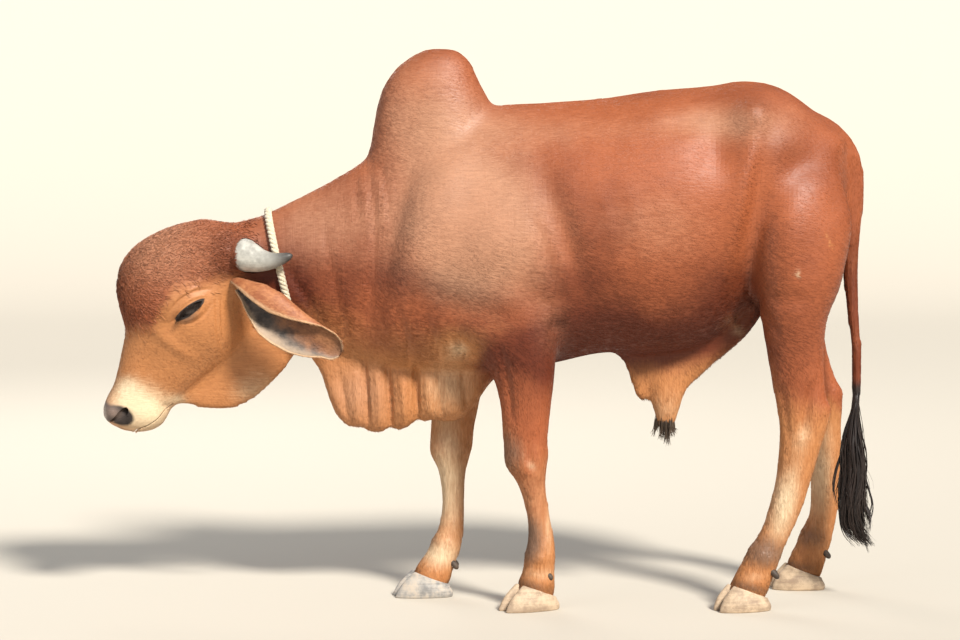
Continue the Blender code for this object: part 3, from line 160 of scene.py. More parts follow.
body = {
    "grain": 0.0114,  # of the fused skin
    "melt": 36,  # rounds of softening where masses join
    "steps": {"trunk": 0.014, "neck": 0.014, "hump": 0.009, "head": 0.009, "scrotum": 0.009},  # of the rings
    # front and back as (x, z), half width, then where it is widest and how square the front and back are
    "trunk": [
        ((-0.335, 0.92), (-0.335, 0.68), 0.05), ((-0.3, 1.04), (-0.3, 0.63), 0.12, 0.48, 1.9),
        ((-0.22, 1.15), (-0.22, 0.605), 0.165, 0.45, 1.9, 2.1),
        ((-0.12, 1.22), (-0.12, 0.6), 0.19, 0.45, 1.9, 2.1),
        ((0.0, 1.272), (0.0, 0.6), 0.205, 0.46, 1.7, 2.1),
        ((0.14, 1.281), (0.14, 0.612), 0.222, 0.48, 1.8, 2.2),
        ((0.29, 1.29), (0.29, 0.643), 0.238, 0.48, 1.9, 2.2),
        ((0.43, 1.311), (0.43, 0.643), 0.24, 0.5, 2.0, 2.2),
        ((0.56, 1.324), (0.56, 0.672), 0.224, 0.56, 2.0, 2.1), ((0.66, 1.338), (0.66, 0.75), 0.205, 0.66),
        ((0.74, 1.322), (0.74, 0.8), 0.188, 0.66, 1.9), ((0.82, 1.27), (0.82, 0.85), 0.152, 0.62),
        ((0.89, 1.203), (0.89, 0.94), 0.105, 0.6), ((0.91, 1.16), (0.91, 1.02), 0.05),
    ],
    "neck": [
        ((-0.72, 0.95), (-0.62, 0.74), 0.06), ((-0.65, 0.977), (-0.545, 0.68), 0.078, 0.52, 2.0, 1.9),
        ((-0.573, 1.003), (-0.49, 0.655), 0.086, 0.52, 1.9, 1.8),
        ((-0.46, 1.056), (-0.43, 0.64), 0.096, 0.52, 1.8, 1.8),
        ((-0.37, 1.105), (-0.365, 0.62), 0.112, 0.5, 1.8, 1.8),
        ((-0.3, 1.15), (-0.29, 0.605), 0.135, 0.48, 1.8, 1.9),
        ((-0.2, 1.19), (-0.18, 0.64), 0.15, 0.48, 1.8),
    ],
    "hump": [
        ((-0.33, 1.08), (0.04, 1.16), 0.108), ((-0.304, 1.18), (0.02, 1.24), 0.096),
        ((-0.288, 1.27), (-0.004, 1.295), 0.084, 0.52, 2.1, 2.1),
        ((-0.27, 1.325), (-0.03, 1.345), 0.073, 0.52, 2.1, 2.1),
        ((-0.236, 1.373), (-0.042, 1.374), 0.058, 0.5, 2.1, 2.1), ((-0.192, 1.406), (-0.062, 1.402), 0.04),
        ((-0.16, 1.421), (-0.09, 1.421), 0.018),
    ],
    "head": [
        ((-0.745, 0.984), (-0.66, 0.975), 0.03), ((-0.808, 0.968), (-0.615, 0.935), 0.082, 0.5, 2.2),
        ((-0.88, 0.935), (-0.595, 0.885), 0.108, 0.55, 2.3),
        ((-0.934, 0.885), (-0.598, 0.825), 0.12, 0.58, 2.3, 1.9),
        ((-0.956, 0.815), (-0.606, 0.76), 0.122, 0.58, 2.2, 1.9),
        ((-0.946, 0.752), (-0.618, 0.7), 0.114, 0.56, 2.2, 1.8),
        ((-0.935, 0.708), (-0.645, 0.65), 0.1, 0.52, 2.2, 1.8),
        ((-0.945, 0.655), (-0.7, 0.598), 0.083, 0.5, 2.2, 1.8),
        ((-0.956, 0.603), (-0.757, 0.552), 0.07, 0.5, 2.3, 1.9),
        ((-0.968, 0.56), (-0.803, 0.515), 0.063, 0.52, 2.4, 2.1),
        ((-0.988, 0.521), (-0.826, 0.487), 0.065, 0.54, 2.5, 2.3),
        ((-0.996, 0.491), (-0.838, 0.463), 0.064, 0.54, 2.5, 2.3),
        ((-0.981, 0.461), (-0.862, 0.445), 0.052, 0.52, 2.3, 2.2),
        ((-0.945, 0.443), (-0.895, 0.436), 0.026),
    ],
    "scrotum": [
        ((0.74, 0.86), (0.815, 0.86), 0.026), ((0.742, 0.785), (0.812, 0.785), 0.026),
        ((0.735, 0.722), (0.818, 0.724), 0.037), ((0.74, 0.68), (0.815, 0.682), 0.037),
        ((0.762, 0.655), (0.798, 0.655), 0.016),
    ],
    "plainRing": [0.5, 2.0, 2.0],  # where a row of these five leaves its last numbers out
    # the hanging folds of skin: x, low and high edge, half thickness
    "dewlap": [
        (-0.478, 0.655, 0.74, 0.012), (-0.455, 0.622, 0.76, 0.02), (-0.432, 0.585, 0.76, 0.026),
        (-0.418, 0.54, 0.76, 0.028), (-0.404, 0.5, 0.76, 0.029), (-0.38, 0.463, 0.76, 0.03),
        (-0.345, 0.446, 0.76, 0.032), (-0.285, 0.434, 0.76, 0.036), (-0.22, 0.445, 0.74, 0.04),
        (-0.15, 0.468, 0.72, 0.042), (-0.09, 0.466, 0.7, 0.042), (-0.045, 0.495, 0.68, 0.038),
        (-0.005, 0.555, 0.66, 0.034), (0.04, 0.6, 0.66, 0.03),
    ],
    "throat": [
        (-0.805, 0.512, 0.56, 0.008), (-0.78, 0.506, 0.58, 0.013), (-0.736, 0.496, 0.62, 0.015),
        (-0.689, 0.491, 0.68, 0.016), (-0.645, 0.501, 0.72, 0.017), (-0.6, 0.527, 0.74, 0.018),
        (-0.555, 0.568, 0.76, 0.02), (-0.52, 0.608, 0.78, 0.022), (-0.49, 0.655, 0.8, 0.024),
    ],
    "sheath": [
        (0.335, 0.628, 0.7, 0.01), (0.355, 0.596, 0.7, 0.013), (0.371, 0.548, 0.71, 0.015),
        (0.385, 0.517, 0.71, 0.016), (0.4, 0.516, 0.71, 0.014), (0.413, 0.533, 0.71, 0.013),
        (0.424, 0.49, 0.72, 0.018), (0.436, 0.452, 0.72, 0.023), (0.457, 0.445, 0.72, 0.026),
        (0.478, 0.458, 0.72, 0.024), (0.5, 0.528, 0.73, 0.022), (0.545, 0.582, 0.75, 0.024),
        (0.6, 0.632, 0.78, 0.026), (0.66, 0.684, 0.82, 0.028), (0.7, 0.74, 0.84, 0.03),
    ],
    "grooves": {"dewlap": {-0.326: 0.5, -0.256: 1.0, -0.189: 0.9}},  # x and depth between its lobes
    # the bones' ends from the shoulder or hip down to the coronet
    "foreJoints": {
        "left": [(-0.1, -0.118, 0.98), (0.085, -0.138, 0.72), (0.098, -0.14, 0.372),
                 (0.127, -0.136, 0.14), (0.117, -0.136, 0.048)],
        "right": [(-0.12, 0.118, 0.98), (-0.065, 0.13, 0.72), (-0.098, 0.096, 0.372),
                  (-0.114, 0.066, 0.134), (-0.153, 0.06, 0.048)],
    },
    "hindJoints": {
        "left": [(0.775, -0.112, 1.1), (0.757, -0.138, 0.8), (0.79, -0.145, 0.485),
                 (0.7, -0.148, 0.145), (0.655, -0.148, 0.05)],
        "right": [(0.785, 0.112, 1.1), (0.77, 0.138, 0.8), (0.862, 0.158, 0.49),
                  (0.868, 0.172, 0.145), (0.832, 0.172, 0.05)],
    },
    # place along the joints, reach ahead and behind, half width
    "foreGirths": [
        (0.0, 0.11, 0.11, 0.045), (0.35, 0.14, 0.125, 0.066), (0.7, 0.15, 0.11, 0.078),
        (1.0, 0.15, 0.096, 0.08), (1.2, 0.128, 0.07, 0.07), (1.4, 0.09, 0.06, 0.057),
        (1.6, 0.07, 0.055, 0.049), (1.8, 0.062, 0.052, 0.043), (1.93, 0.058, 0.053, 0.044),
        (2.02, 0.05, 0.049, 0.046), (2.14, 0.034, 0.04, 0.039), (2.32, 0.025, 0.035, 0.03),
        (2.55, 0.026, 0.036, 0.028), (2.8, 0.032, 0.04, 0.031), (3.0, 0.038, 0.042, 0.036),
        (3.4, 0.038, 0.043, 0.034), (3.8, 0.045, 0.048, 0.04), (4.2, 0.044, 0.046, 0.038),
    ],
    "hindGirths": [
        (0.0, 0.11, 0.12, 0.066), (0.33, 0.112, 0.15, 0.086), (0.66, 0.098, 0.143, 0.092),
        (1.0, 0.083, 0.122, 0.086), (1.25, 0.075, 0.089, 0.07), (1.5, 0.073, 0.07, 0.054),
        (1.75, 0.071, 0.062, 0.042), (2.0, 0.061, 0.07, 0.038), (2.15, 0.05, 0.056, 0.036),
        (2.4, 0.035, 0.047, 0.031), (2.7, 0.034, 0.041, 0.028), (2.9, 0.04, 0.041, 0.031),
        (3.0, 0.044, 0.042, 0.036), (3.4, 0.044, 0.044, 0.034), (3.8, 0.046, 0.048, 0.04),
        (4.2, 0.044, 0.046, 0.038),
    ],
    # x, z and radius
    "tailRoot": [(0.79, 1.235, 0.042), (0.862, 1.198, 0.044), (0.908, 1.145, 0.042), (0.918, 1.125, 0.039)],
    "tail": [
        (0.9, 1.16, 0.036), (0.917, 1.1297, 0.036), (0.93, 1.05, 0.031), (0.928, 0.96, 0.026),
        (0.926, 0.87, 0.021), (0.934, 0.76, 0.017), (0.945, 0.65, 0.014), (0.946, 0.525, 0.0125),
    ],
    # centre, reach, lean and push of each muscle, bone or hollow
    "relief": [
        ((-0.15, 0.16, 1.0), (0.06, 0.1, 0.21), 17, 0.016),  # front of the shoulder blade
        ((-0.255, 0.13, 0.92), (0.032, 0.1, 0.2), 14, -0.014),  # dip ahead of the shoulder
        ((0.02, 0.2, 0.92), (0.11, 0.1, 0.14), -20, 0.018),  # upper arm
        ((0.185, 0.2, 0.95), (0.035, 0.1, 0.15), -18, -0.015),  # dip behind the upper arm
        ((-0.02, 0.18, 0.76), (0.11, 0.1, 0.035), 15, -0.007),
        ((0.48, 0.17, 1.235), (0.06, 0.05, 0.03), 0, -0.007),  # dip under the loin
        ((0.575, 0.19, 1.165), (0.055, 0.08, 0.07), 10, -0.018),  # hollow of the flank
        ((0.662, 0.18, 1.262), (0.045, 0.06, 0.04), 0, 0.026),  # hook bone
        ((0.628, 0.2, 1.06), (0.026, 0.08, 0.15), 13, 0.01),  # front edge of the thigh
        ((0.672, 0.2, 1.04), (0.026, 0.08, 0.13), 8, -0.009),
        ((0.745, 0.19, 0.98), (0.065, 0.09, 0.11), 14, 0.016),  # bulge of the thigh
        ((0.765, 0.15, 1.13), (0.05, 0.06, 0.04), -30, -0.012),  # hollow above the hip
        ((0.865, 0.13, 1.03), (0.035, 0.06, 0.06), 0, -0.01),
        ((0.893, 0.075, 1.185), (0.035, 0.04, 0.035), 0, 0.012),  # pin bone
        ((0.735, 0.2, 0.795), (0.07, 0.06, 0.026), 0, -0.007),  # fold above the stifle
        ((0.3, 0.0, 1.3), (0.3, 0.022, 0.05), 0, 0.006),  # spine
        ((-0.45, 0.1, 0.9), (0.1, 0.05, 0.05), 0, 0.008),  # side of the neck
    ],
    "legRelief": {  # on one leg each: the elbow, the knee cap and the point of the hock
        -1: [
            ((0.163, 0.165, 0.762), (0.028, 0.05, 0.028), 0, 0.013),
            ((0.055, 0.14, 0.375), (0.02, 0.03, 0.028), 0, 0.006),
            ((0.85, 0.145, 0.51), (0.02, 0.03, 0.02), 0, 0.007),
        ],
        1: [
            ((0.015, 0.165, 0.762), (0.028, 0.05, 0.028), 0, 0.013),
            ((-0.14, 0.096, 0.375), (0.02, 0.03, 0.028), 0, 0.006),
            ((0.912, 0.158, 0.525), (0.02, 0.03, 0.02), 0, 0.007),
        ],
    },
    # centre and reach of the places where masses melt into each other
    "soft": [
        ((0.8, 0.14, 1.08), 0.13), ((0.72, 0.16, 0.86), 0.09), ((-0.1, 0.15, 0.98), 0.16),
        ((0.04, 0.17, 0.78), 0.1), ((-0.15, 0.1, 1.16), 0.13), ((0.03, 0.08, 1.26), 0.09),
        ((-0.58, 0.07, 0.84), 0.09), ((-0.62, 0.03, 0.97), 0.07), ((-0.3, 0.12, 0.85), 0.14),
        ((0.86, 0.06, 1.15), 0.08), ((-0.62, 0.06, 0.66), 0.07), ((0.62, 0.12, 0.74), 0.08),
    ],
}


def ringOf(front, back, halfWidth, widest, frontPower, backPower):
    front, back = Vector((front[0], 0, front[1])), Vector((back[0], 0, back[1]))
    middle = back.lerp(front, widest)
    points = []
    for wide, along in circle(40):
        end, power = (front, frontPower) if along >= 0 else (back, backPower)
        point = middle + (end - middle) * abs(bend(along, power))
        points.append(point + Vector((0, float(halfWidth) * bend(wide, power), 0)))
    return points


def addRinged(bm, rows, step):
    flat = []
    for (fx, fz), (bx, bz), wide, *rest in rows:
        rest += body["plainRing"][len(rest):]
        flat.append(((fx + bx) / 2, 0, (fz + bz) / 2, fx, fz, bx, bz, wide, *rest))
    length = sum((Vector(a[:3]) - Vector(b[:3])).length for a, b in zip(flat, flat[1:]))
    rows = smoothRows(flat, max(6, round(length / step)))
    addLoft(bm, [ringOf(row[3:5], row[5:7], *row[7:]) for row in rows])


def addFold(bm, drops, grooves):  # a thin hanging fold of skin
    rows = smoothRows([(x, 0, 0, x, low, high, thick) for x, low, high, thick in drops],
                      round((drops[-1][0] - drops[0][0]) / 0.005))
    rings = []
    for x, low, high, thick in rows[:, 3:]:
        dip = max([s * math.exp(-((x - g) / 0.011) ** 2) for g, s in grooves.items()] or [0])
        rings.append(ringOf((x, high), (x, low + 0.020 * dip), thick * (1 - 0.45 * dip), 0.35, 2.0, 2.6))
    addLoft(bm, rings)


def addLeg(bm, joints, girths):
    line = smoothRows([(*p, i) for i, p in enumerate(joints)], 240)

    def at(place):  # past the last joint it goes straight on
        if place > line[-1, 3]:
            past = (place - line[-1, 3]) / (line[-1, 3] - line[-6, 3])
            return line[-1, :3] + past * (line[-1, :3] - line[-6, :3])
        return np.array([np.interp(place, line[:, 3], line[:, c]) for c in range(3)])

    rings = []
    for row in smoothRows([(*at(g[0]), *g) for g in girths], 110):
        place, ahead, behind, wide = row[3:]
        middle = Vector(at(place))
        down = (Vector(at(place + 0.05)) - middle).normalized()
        forward = Vector((0, 1, 0)).cross(down).normalized()
        side = down.cross(forward).normalized()
        ring = []
        for out, along in circle(28):
            reach = float(ahead if along >= 0 else behind) * bend(along, 2.1)
            ring.append(middle + forward * reach + side * float(wide) * bend(out, 2.1))
        rings.append(ring)
    addLoft(bm, rings)


def tubeRings(line, corners, count):  # round sections along a line of (x, y, z, radius)
    rows = smoothRows(line, count)
    rings = []
    for i, row in enumerate(rows):
        ahead = Vector(rows[min(i + 1, count - 1)][:3]) - Vector(rows[max(i - 1, 0)][:3])
        u = ahead.cross(Vector((0, 1, 0.01))).normalized() * float(row[3])
        v = ahead.cross(u).normalized() * u.length
        rings.append([Vector(row[:3]) + u * c + v * s for c, s in circle(corners)])
    return rings


def relieved(mesh, relief, oneSide=0):  # moves the skin out or in over muscles, bones and hollows
    points, normals = places(mesh), places(mesh, "normal")
    push = sum(amount * nearness(points, centre, reach, lean) for centre, reach, lean, amount in relief)
    if oneSide:
        push[points[:, 1] * oneSide < 0] = 0
    moveTo(mesh, points + normals * push[:, None])


def soften(obj, weights, rounds):
    group = obj.vertex_groups.new(name="soft")
    for i in np.nonzero(weights > 0.01)[0]:
        group.add([int(i)], float(weights[i]), "REPLACE")
    modify(obj, "SMOOTH", factor=0.5, iterations=rounds, vertex_group="soft")
    applied(obj)
    obj.vertex_groups.clear()


def makeSkin():
    bm = bmesh.new()
    for part, step in body["steps"].items():
        addRinged(bm, body[part], step)
    for part in ("dewlap", "throat", "sheath"):
        addFold(bm, body[part], body["grooves"].get(part, {}))
    for part, count in (("tailRoot", 20), ("tail", 60)):
        addLoft(bm, tubeRings([(x, 0, z, r) for x, z, r in body[part]], 20, count))
    for side in sides:
        for leg in ("fore", "hind"):
            addLeg(bm, body[leg + "Joints"][side], body[leg + "Girths"])
    obj = newPiece("skin", bm)
    modify(obj, "REMESH", mode="VOXEL", voxel_size=body["grain"])
    modify(obj, "SMOOTH", factor=0.5, iterations=5)
    applied(obj)
    points = places(obj.data)
    melt = sum(nearness(points, centre, (reach,) * 3) for centre, reach in body["soft"])
    soften(obj, np.clip(melt, 0, 1), body["melt"])
    relieved(obj.data, body["relief"])
    for side, relief in body["legRelief"].items():
        relieved(obj.data, relief, side)
    return obj


skin = makeSkin()
print("skin", len(skin.data.polygons))

head = {
    "neckCut": (-0.442, 0.48, -0.158 / 0.66),  # the plane that parts it from the neck: x, z, slope
    "eye": (-0.757, 0.096, 0.763),
    "eyeRadius": 0.0285,
    "slitTurn": 35,  # degrees that the slit rises toward the back
    "slit": (0.0355, 0.0096),  # half length and half height
    "slitPoints": 40,
    "nostril": [  # (x, y, z, radius), from the front rim curling back and in
        (-0.972, 0.038, 0.471, 0.0046), (-0.956, 0.054, 0.477, 0.007475), (-0.936, 0.062, 0.493, 0.010925),
        (-0.927, 0.056, 0.502, 0.009775), (-0.92, 0.039, 0.509, 0.00575),
    ],
    "mouth": [
        (-0.931, 0.405), (-0.921, 0.43), (-0.903, 0.449), (-0.876, 0.46), (-0.85, 0.478), (-0.832, 0.5),
        (-0.812, 0.514),
    ],
    "lipGap": 0.0022,
    "relief": [
        ((-0.757, 0.12, 0.763), (0.036, 0.05, 0.024), -35, 0.013),  # lids over the eyeball
        ((-0.775, 0.12, 0.8), (0.05, 0.05, 0.014), -35, 0.008),  # brow
        ((-0.812, 0.1, 0.725), (0.024, 0.05, 0.024), 0, -0.006),  # hollow ahead of the eye
        ((-0.69, 0.11, 0.845), (0.03, 0.05, 0.035), 0, -0.008),  # temple
        ((-0.7, 0.11, 0.7), (0.055, 0.06, 0.07), 25, 0.01),  # cheek muscle
        ((-0.668, 0.11, 0.76), (0.012, 0.06, 0.06), 5, -0.005),  # crease behind the cheek
        ((-0.8, 0.1, 0.665), (0.06, 0.05, 0.016), 40, 0.005),  # cheek bone
        ((-0.87, 0.08, 0.615), (0.03, 0.04, 0.055), 25, -0.005),  # side of the nose
        ((-0.97, 0.055, 0.505), (0.02, 0.03, 0.024), 0, 0.006),  # wing of the nostril
        ((-0.885, 0.06, 0.49), (0.04, 0.04, 0.03), 30, 0.005),  # upper lip
        ((-0.83, 0.05, 0.505), (0.012, 0.05, 0.012), 0, -0.006),  # corner of the mouth
        ((-0.88, 0.06, 0.865), (0.045, 0.05, 0.06), 20, 0.006),  # dome of the forehead
        ((-0.625, 0.075, 0.905), (0.03, 0.05, 0.05), 0, 0.006),  # root of the horn
        ((-0.64, 0.1, 0.822), (0.032, 0.05, 0.028), -30, 0.01),  # root of the ear
        ((-0.63, 0.086, 0.896), (0.034, 0.05, 0.05), 0, 0.02),  # the boss that the horn grows from
        ((-0.678, 0.088, 0.898), (0.038, 0.05, 0.056), 0, 0.026),
    ],
    # lines of (x, z), width and depth: folds of the lids, cheek and jaw; a negative depth is a ridge
    "creases": [
        ([(-0.816, 0.7535), (-0.778, 0.7915), (-0.74, 0.8105), (-0.702, 0.8147)], 0.0045, 0.0034),
        ([(-0.806, 0.743), (-0.786, 0.765), (-0.752, 0.792), (-0.712, 0.8)], 0.0055, -0.003),
        ([(-0.8, 0.8), (-0.76, 0.822), (-0.715, 0.827)], 0.006, 0.0016),
        ([(-0.7907, 0.724), (-0.753, 0.728), (-0.719, 0.7535), (-0.702, 0.783)], 0.0045, 0.0022),
        ([(-0.786, 0.733), (-0.756, 0.74), (-0.726, 0.762)], 0.005, -0.0022),
        ([(-0.806, 0.728), (-0.799, 0.7366), (-0.788, 0.745)], 0.0035, 0.003),
        ([(-0.6938, 0.8042), (-0.6917, 0.7366), (-0.6896, 0.6945), (-0.677, 0.6396)], 0.004, 0.0026),
        ([(-0.683, 0.802), (-0.681, 0.7366), (-0.681, 0.673)], 0.0035, 0.002),
        ([(-0.688, 0.79), (-0.686, 0.7366), (-0.685, 0.683)], 0.004, -0.0016),
        ([(-0.812, 0.513), (-0.761, 0.551), (-0.719, 0.589), (-0.69, 0.615)], 0.0045, 0.0026),
        ([(-0.808, 0.522), (-0.7528, 0.5678), (-0.702, 0.61)], 0.004, 0.002),
        ([(-0.8, 0.508), (-0.752, 0.538), (-0.705, 0.572)], 0.004, 0.0018),
    ],
}
folds = {
    "body": [
        ([(-0.517, 0.88), (-0.487, 0.821), (-0.4536, 0.766), (-0.441, 0.72)], 0.012, 0.007),
        ([(-0.42, 0.98), (-0.4, 0.86), (-0.38, 0.74), (-0.372, 0.66)], 0.013, 0.005),
        ([(-0.318, 1.14), (-0.3, 1.06), (-0.29, 0.96), (-0.3, 0.84), (-0.318, 0.72)], 0.014, 0.0085),
        ([(-0.275, 1.14), (-0.262, 1.06), (-0.255, 0.98)], 0.01, 0.0045),
        ([(-0.345, 1.12), (-0.335, 1.04), (-0.33, 0.96)], 0.01, 0.004),
        ([(-0.24, 0.78), (-0.215, 0.7), (-0.205, 0.6)], 0.011, 0.005),
        ([(-0.165, 0.76), (-0.14, 0.68), (-0.125, 0.6)], 0.011, 0.005),
        ([(-0.09, 0.7), (-0.06, 0.64), (-0.03, 0.61)], 0.01, 0.005),
        ([(0.6, 0.76), (0.64, 0.7), (0.7, 0.8)], 0.012, -0.006),
        ([(0.65, 0.82), (0.69, 0.76), (0.72, 0.7)], 0.012, 0.006),
        ([(0.14, 0.8), (0.16, 0.76), (0.158, 0.7)], 0.012, 0.006),
        ([(-0.085, 0.7), (-0.055, 0.672), (-0.02, 0.655)], 0.007, 0.0035),
        ([(-0.1, 0.662), (-0.06, 0.645), (-0.02, 0.64)], 0.007, 0.0035),
        ([(0.022, 0.69), (0.044, 0.58), (0.056, 0.48)], 0.011, 0.008),
        ([(0.815, 0.59), (0.8, 0.52), (0.788, 0.44)], 0.012, 0.01),
        ([(0.735, 0.58), (0.745, 0.5), (0.752, 0.43)], 0.011, 0.006),
        ([(0.105, 1.02), (0.135, 0.93), (0.162, 0.84), (0.172, 0.74)], 0.015, 0.006),
        ([(0.11, 0.46), (0.098, 0.405), (0.12, 0.35)], 0.01, 0.005),
        ([(0.128, 0.33), (0.138, 0.25), (0.14, 0.17)], 0.008, 0.004),
        ([(0.728, 0.38), (0.7, 0.29), (0.68, 0.2)], 0.008, 0.004),
        ([(0.18, 1.11), (0.225, 0.97), (0.255, 0.8)], 0.018, -0.0014),
        ([(0.255, 1.11), (0.3, 0.97), (0.33, 0.8)], 0.018, -0.0014),
        ([(0.33, 1.11), (0.375, 0.97), (0.405, 0.8)], 0.018, -0.0014),
    ],
    "dewlap": [  # its hanging folds: valleys, and ridges between them
        ([(-0.385, 0.6), (-0.372, 0.52), (-0.36, 0.455)], 0.01, 0.006),
        ([(-0.345, 0.6), (-0.34, 0.52), (-0.338, 0.44)], 0.011, -0.005),
        ([(-0.322, 0.64), (-0.316, 0.54), (-0.31, 0.44)], 0.0068, 0.012),
        ([(-0.29, 0.63), (-0.284, 0.53), (-0.28, 0.44)], 0.011, -0.006),
        ([(-0.262, 0.62), (-0.256, 0.53), (-0.252, 0.44)], 0.0068, 0.0125),
        ([(-0.225, 0.6), (-0.22, 0.53), (-0.216, 0.46)], 0.011, -0.006),
        ([(-0.19, 0.62), (-0.187, 0.54), (-0.184, 0.47)], 0.0068, 0.012),
        ([(-0.16, 0.6), (-0.156, 0.54), (-0.154, 0.47)], 0.01, -0.005),
        ([(-0.13, 0.61), (-0.126, 0.54), (-0.122, 0.47)], 0.009, 0.007),
        ([(-0.07, 0.61), (-0.062, 0.55), (-0.056, 0.49)], 0.01, 0.006),
    ],
}


def creased(mesh, creases, fade=0.03):
    points, normals = places(mesh), places(mesh, "normal")
    flat, push = points[:, ::2], np.zeros(len(points))
    side = np.clip(np.abs(points[:, 1]) / fade - 0.4, 0, 1)  # nothing at the middle line
    for line, width, depth in creases:
        rows = smoothRows([(x, 0, z) for x, z in line], 40)[:, ::2]
        near, full = np.full(len(points), 9.0), np.zeros(len(points))
        close = np.nonzero(((flat > rows.min(0) - 0.05) & (flat < rows.max(0) + 0.05)).all(1))[0]
        for k, row in enumerate(rows):
            away = np.hypot(*(flat[close] - row).T)
            nearer = close[away < near[close]]
            near[close] = np.minimum(near[close], away)
            full[nearer] = 1 - abs(2 * k / 39 - 1) ** 3  # the fold fades out at both ends
        push -= depth * full * np.exp(-((near / width) ** 2)) * side
    moveTo(mesh, points + normals * push[:, None])


def refine(obj, chosen):  # halves the faces near the chosen places
    bm = bmesh.new()
    bm.from_mesh(obj.data)
    faces = [face for face in bm.faces if chosen(face.calc_center_median())]
    edges = list(dict.fromkeys(edge for face in faces for edge in face.edges))
    bmesh.ops.subdivide_edges(bm, edges=edges, cuts=1, use_grid_fill=True)
    bm.to_mesh(obj.data)
    bm.free()


def headSide(point):  # positive on the head's side of the rope
    x, z, slope = head["neckCut"]
    return (point[2] - z) * slope + x - point[0]


def nearEye(point, reach):
    x, y, z = head["eye"]
    return math.hypot(point[0] - x, point[2] - z) < reach and abs(point[1]) > 0.05


def eyeCentre(side):
    x, y, z = head["eye"]
    return Vector((x, side * y, z))


def slitPlug(side, extra=0.0):  # an almond that opens the lids
    turn = math.radians(head["slitTurn"])
    along, over = Vector((math.cos(turn), 0, math.sin(turn))), Vector((-math.sin(turn), 0, math.cos(turn)))
    length, height = head["slit"]
    x, y, z = head["eye"]
    rings = []
    for middle in (Vector((x, side * (y + 0.003), z)), Vector((x, side * (y + 0.08), z))):
        rings.append([middle + along * (length + extra) * c + over * (height + extra) * bend(s, 1.4)
                      for c, s in circle(head["slitPoints"])])
    return rings


def onEye(side, spot, lift):  # the place over the eyeball that a spot of the slit shows from the side
    middle = eyeCentre(side)
    flat = spot - middle
    flat.y = 0
    depth = math.sqrt((head["eyeRadius"] + lift) ** 2 - min(flat.length_squared, 0.00072))
    return middle + Vector((flat.x, side * depth, flat.z))


def aroundSlit(points, longer, higher):  # how far out from the slit: 1 on its widened rim
    turn = math.radians(head["slitTurn"])
    x, z = points[:, 0] - head["eye"][0], points[:, 2] - head["eye"][2]
    along = (x * math.cos(turn) + z * math.sin(turn)) / (head["slit"][0] + longer)
    over = (z * math.cos(turn) - x * math.sin(turn)) / (head["slit"][1] + higher)
    return np.hypot(along, over), over


def eyeBall(name, side, radius):
    bm = bmesh.new()
    bmesh.ops.create_uvsphere(bm, u_segments=48, v_segments=32, radius=radius)
    bmesh.ops.translate(bm, verts=bm.verts, vec=eyeCentre(side))
    return newPiece(name, bm)


def carve(obj, cutters):
    for cutter in cutters:
        modify(obj, "BOOLEAN", operation="DIFFERENCE", solver="MANIFOLD", object=cutter)
    applied(obj)
    for cutter in cutters:
        bpy.data.objects.remove(cutter, do_unlink=True)


def mouthStrip():
    bm = bmesh.new()
    row = [bm.verts.new((x, -0.4, z)) for x, _, z in smoothRows([(x, 0, z) for x, z in head["mouth"]], 30)]
    edges = [bm.edges.new(pair) for pair in zip(row, row[1:])]
    strip = bmesh.ops.extrude_edge_only(bm, edges=edges)["geom"]
    moved = [v for v in strip if isinstance(v, bmesh.types.BMVert)]
    bmesh.ops.translate(bm, verts=moved, vec=(0, 0.8, 0))
    lips = newPiece("lips", bm)
    modify(lips, "SOLIDIFY", thickness=head["lipGap"], offset=0)
    return applied(lips)


def makeHead():  # finer faces, relief and folds, then the lids', nostrils' and mouth's openings
    refine(skin, lambda p: headSide(p) > -0.004 and p.x < -0.40
           or p.z < 0.66 and -0.52 < p.x < 0.04 and abs(p.y) < 0.08)
    points = places(skin.data)
    share = np.clip((headSide(points.T) + 0.006) / 0.02, 0, 1) * (points[:, 0] < -0.40)
    soften(skin, share, 6)
    relieved(skin.data, head["relief"])
    creased(skin.data, folds["body"])
    creased(skin.data, folds["dewlap"], 0.012)
    refine(skin, lambda p: nearEye(p, 0.072) or p.z < 0.53 and p.x < -0.80)
    refine(skin, lambda p: nearEye(p, 0.045)
           or math.dist(p, (-0.96, math.copysign(0.05, p.y), 0.49)) < 0.030)
    fine = [nearEye(p, 0.07) or (p[2] < 0.54 and p[0] < -0.80) for p in places(skin.data)]
    soften(skin, np.array(fine, float), 3)
    creased(skin.data, head["creases"])
    cutters = []
    for side in sides.values():
        nostril = [(x, y * side, z, r) for x, y, z, r in head["nostril"]]
        cutters.append(loftPiece("slit", slitPlug(side)))
        cutters.append(eyeBall("socket", side, head["eyeRadius"] + 0.0004))
        cutters.append(loftPiece("nostril", tubeRings(nostril, 24, 24)))
    carve(skin, cutters + [mouthStrip()])


makeHead()
print("head", len(skin.data.polygons))

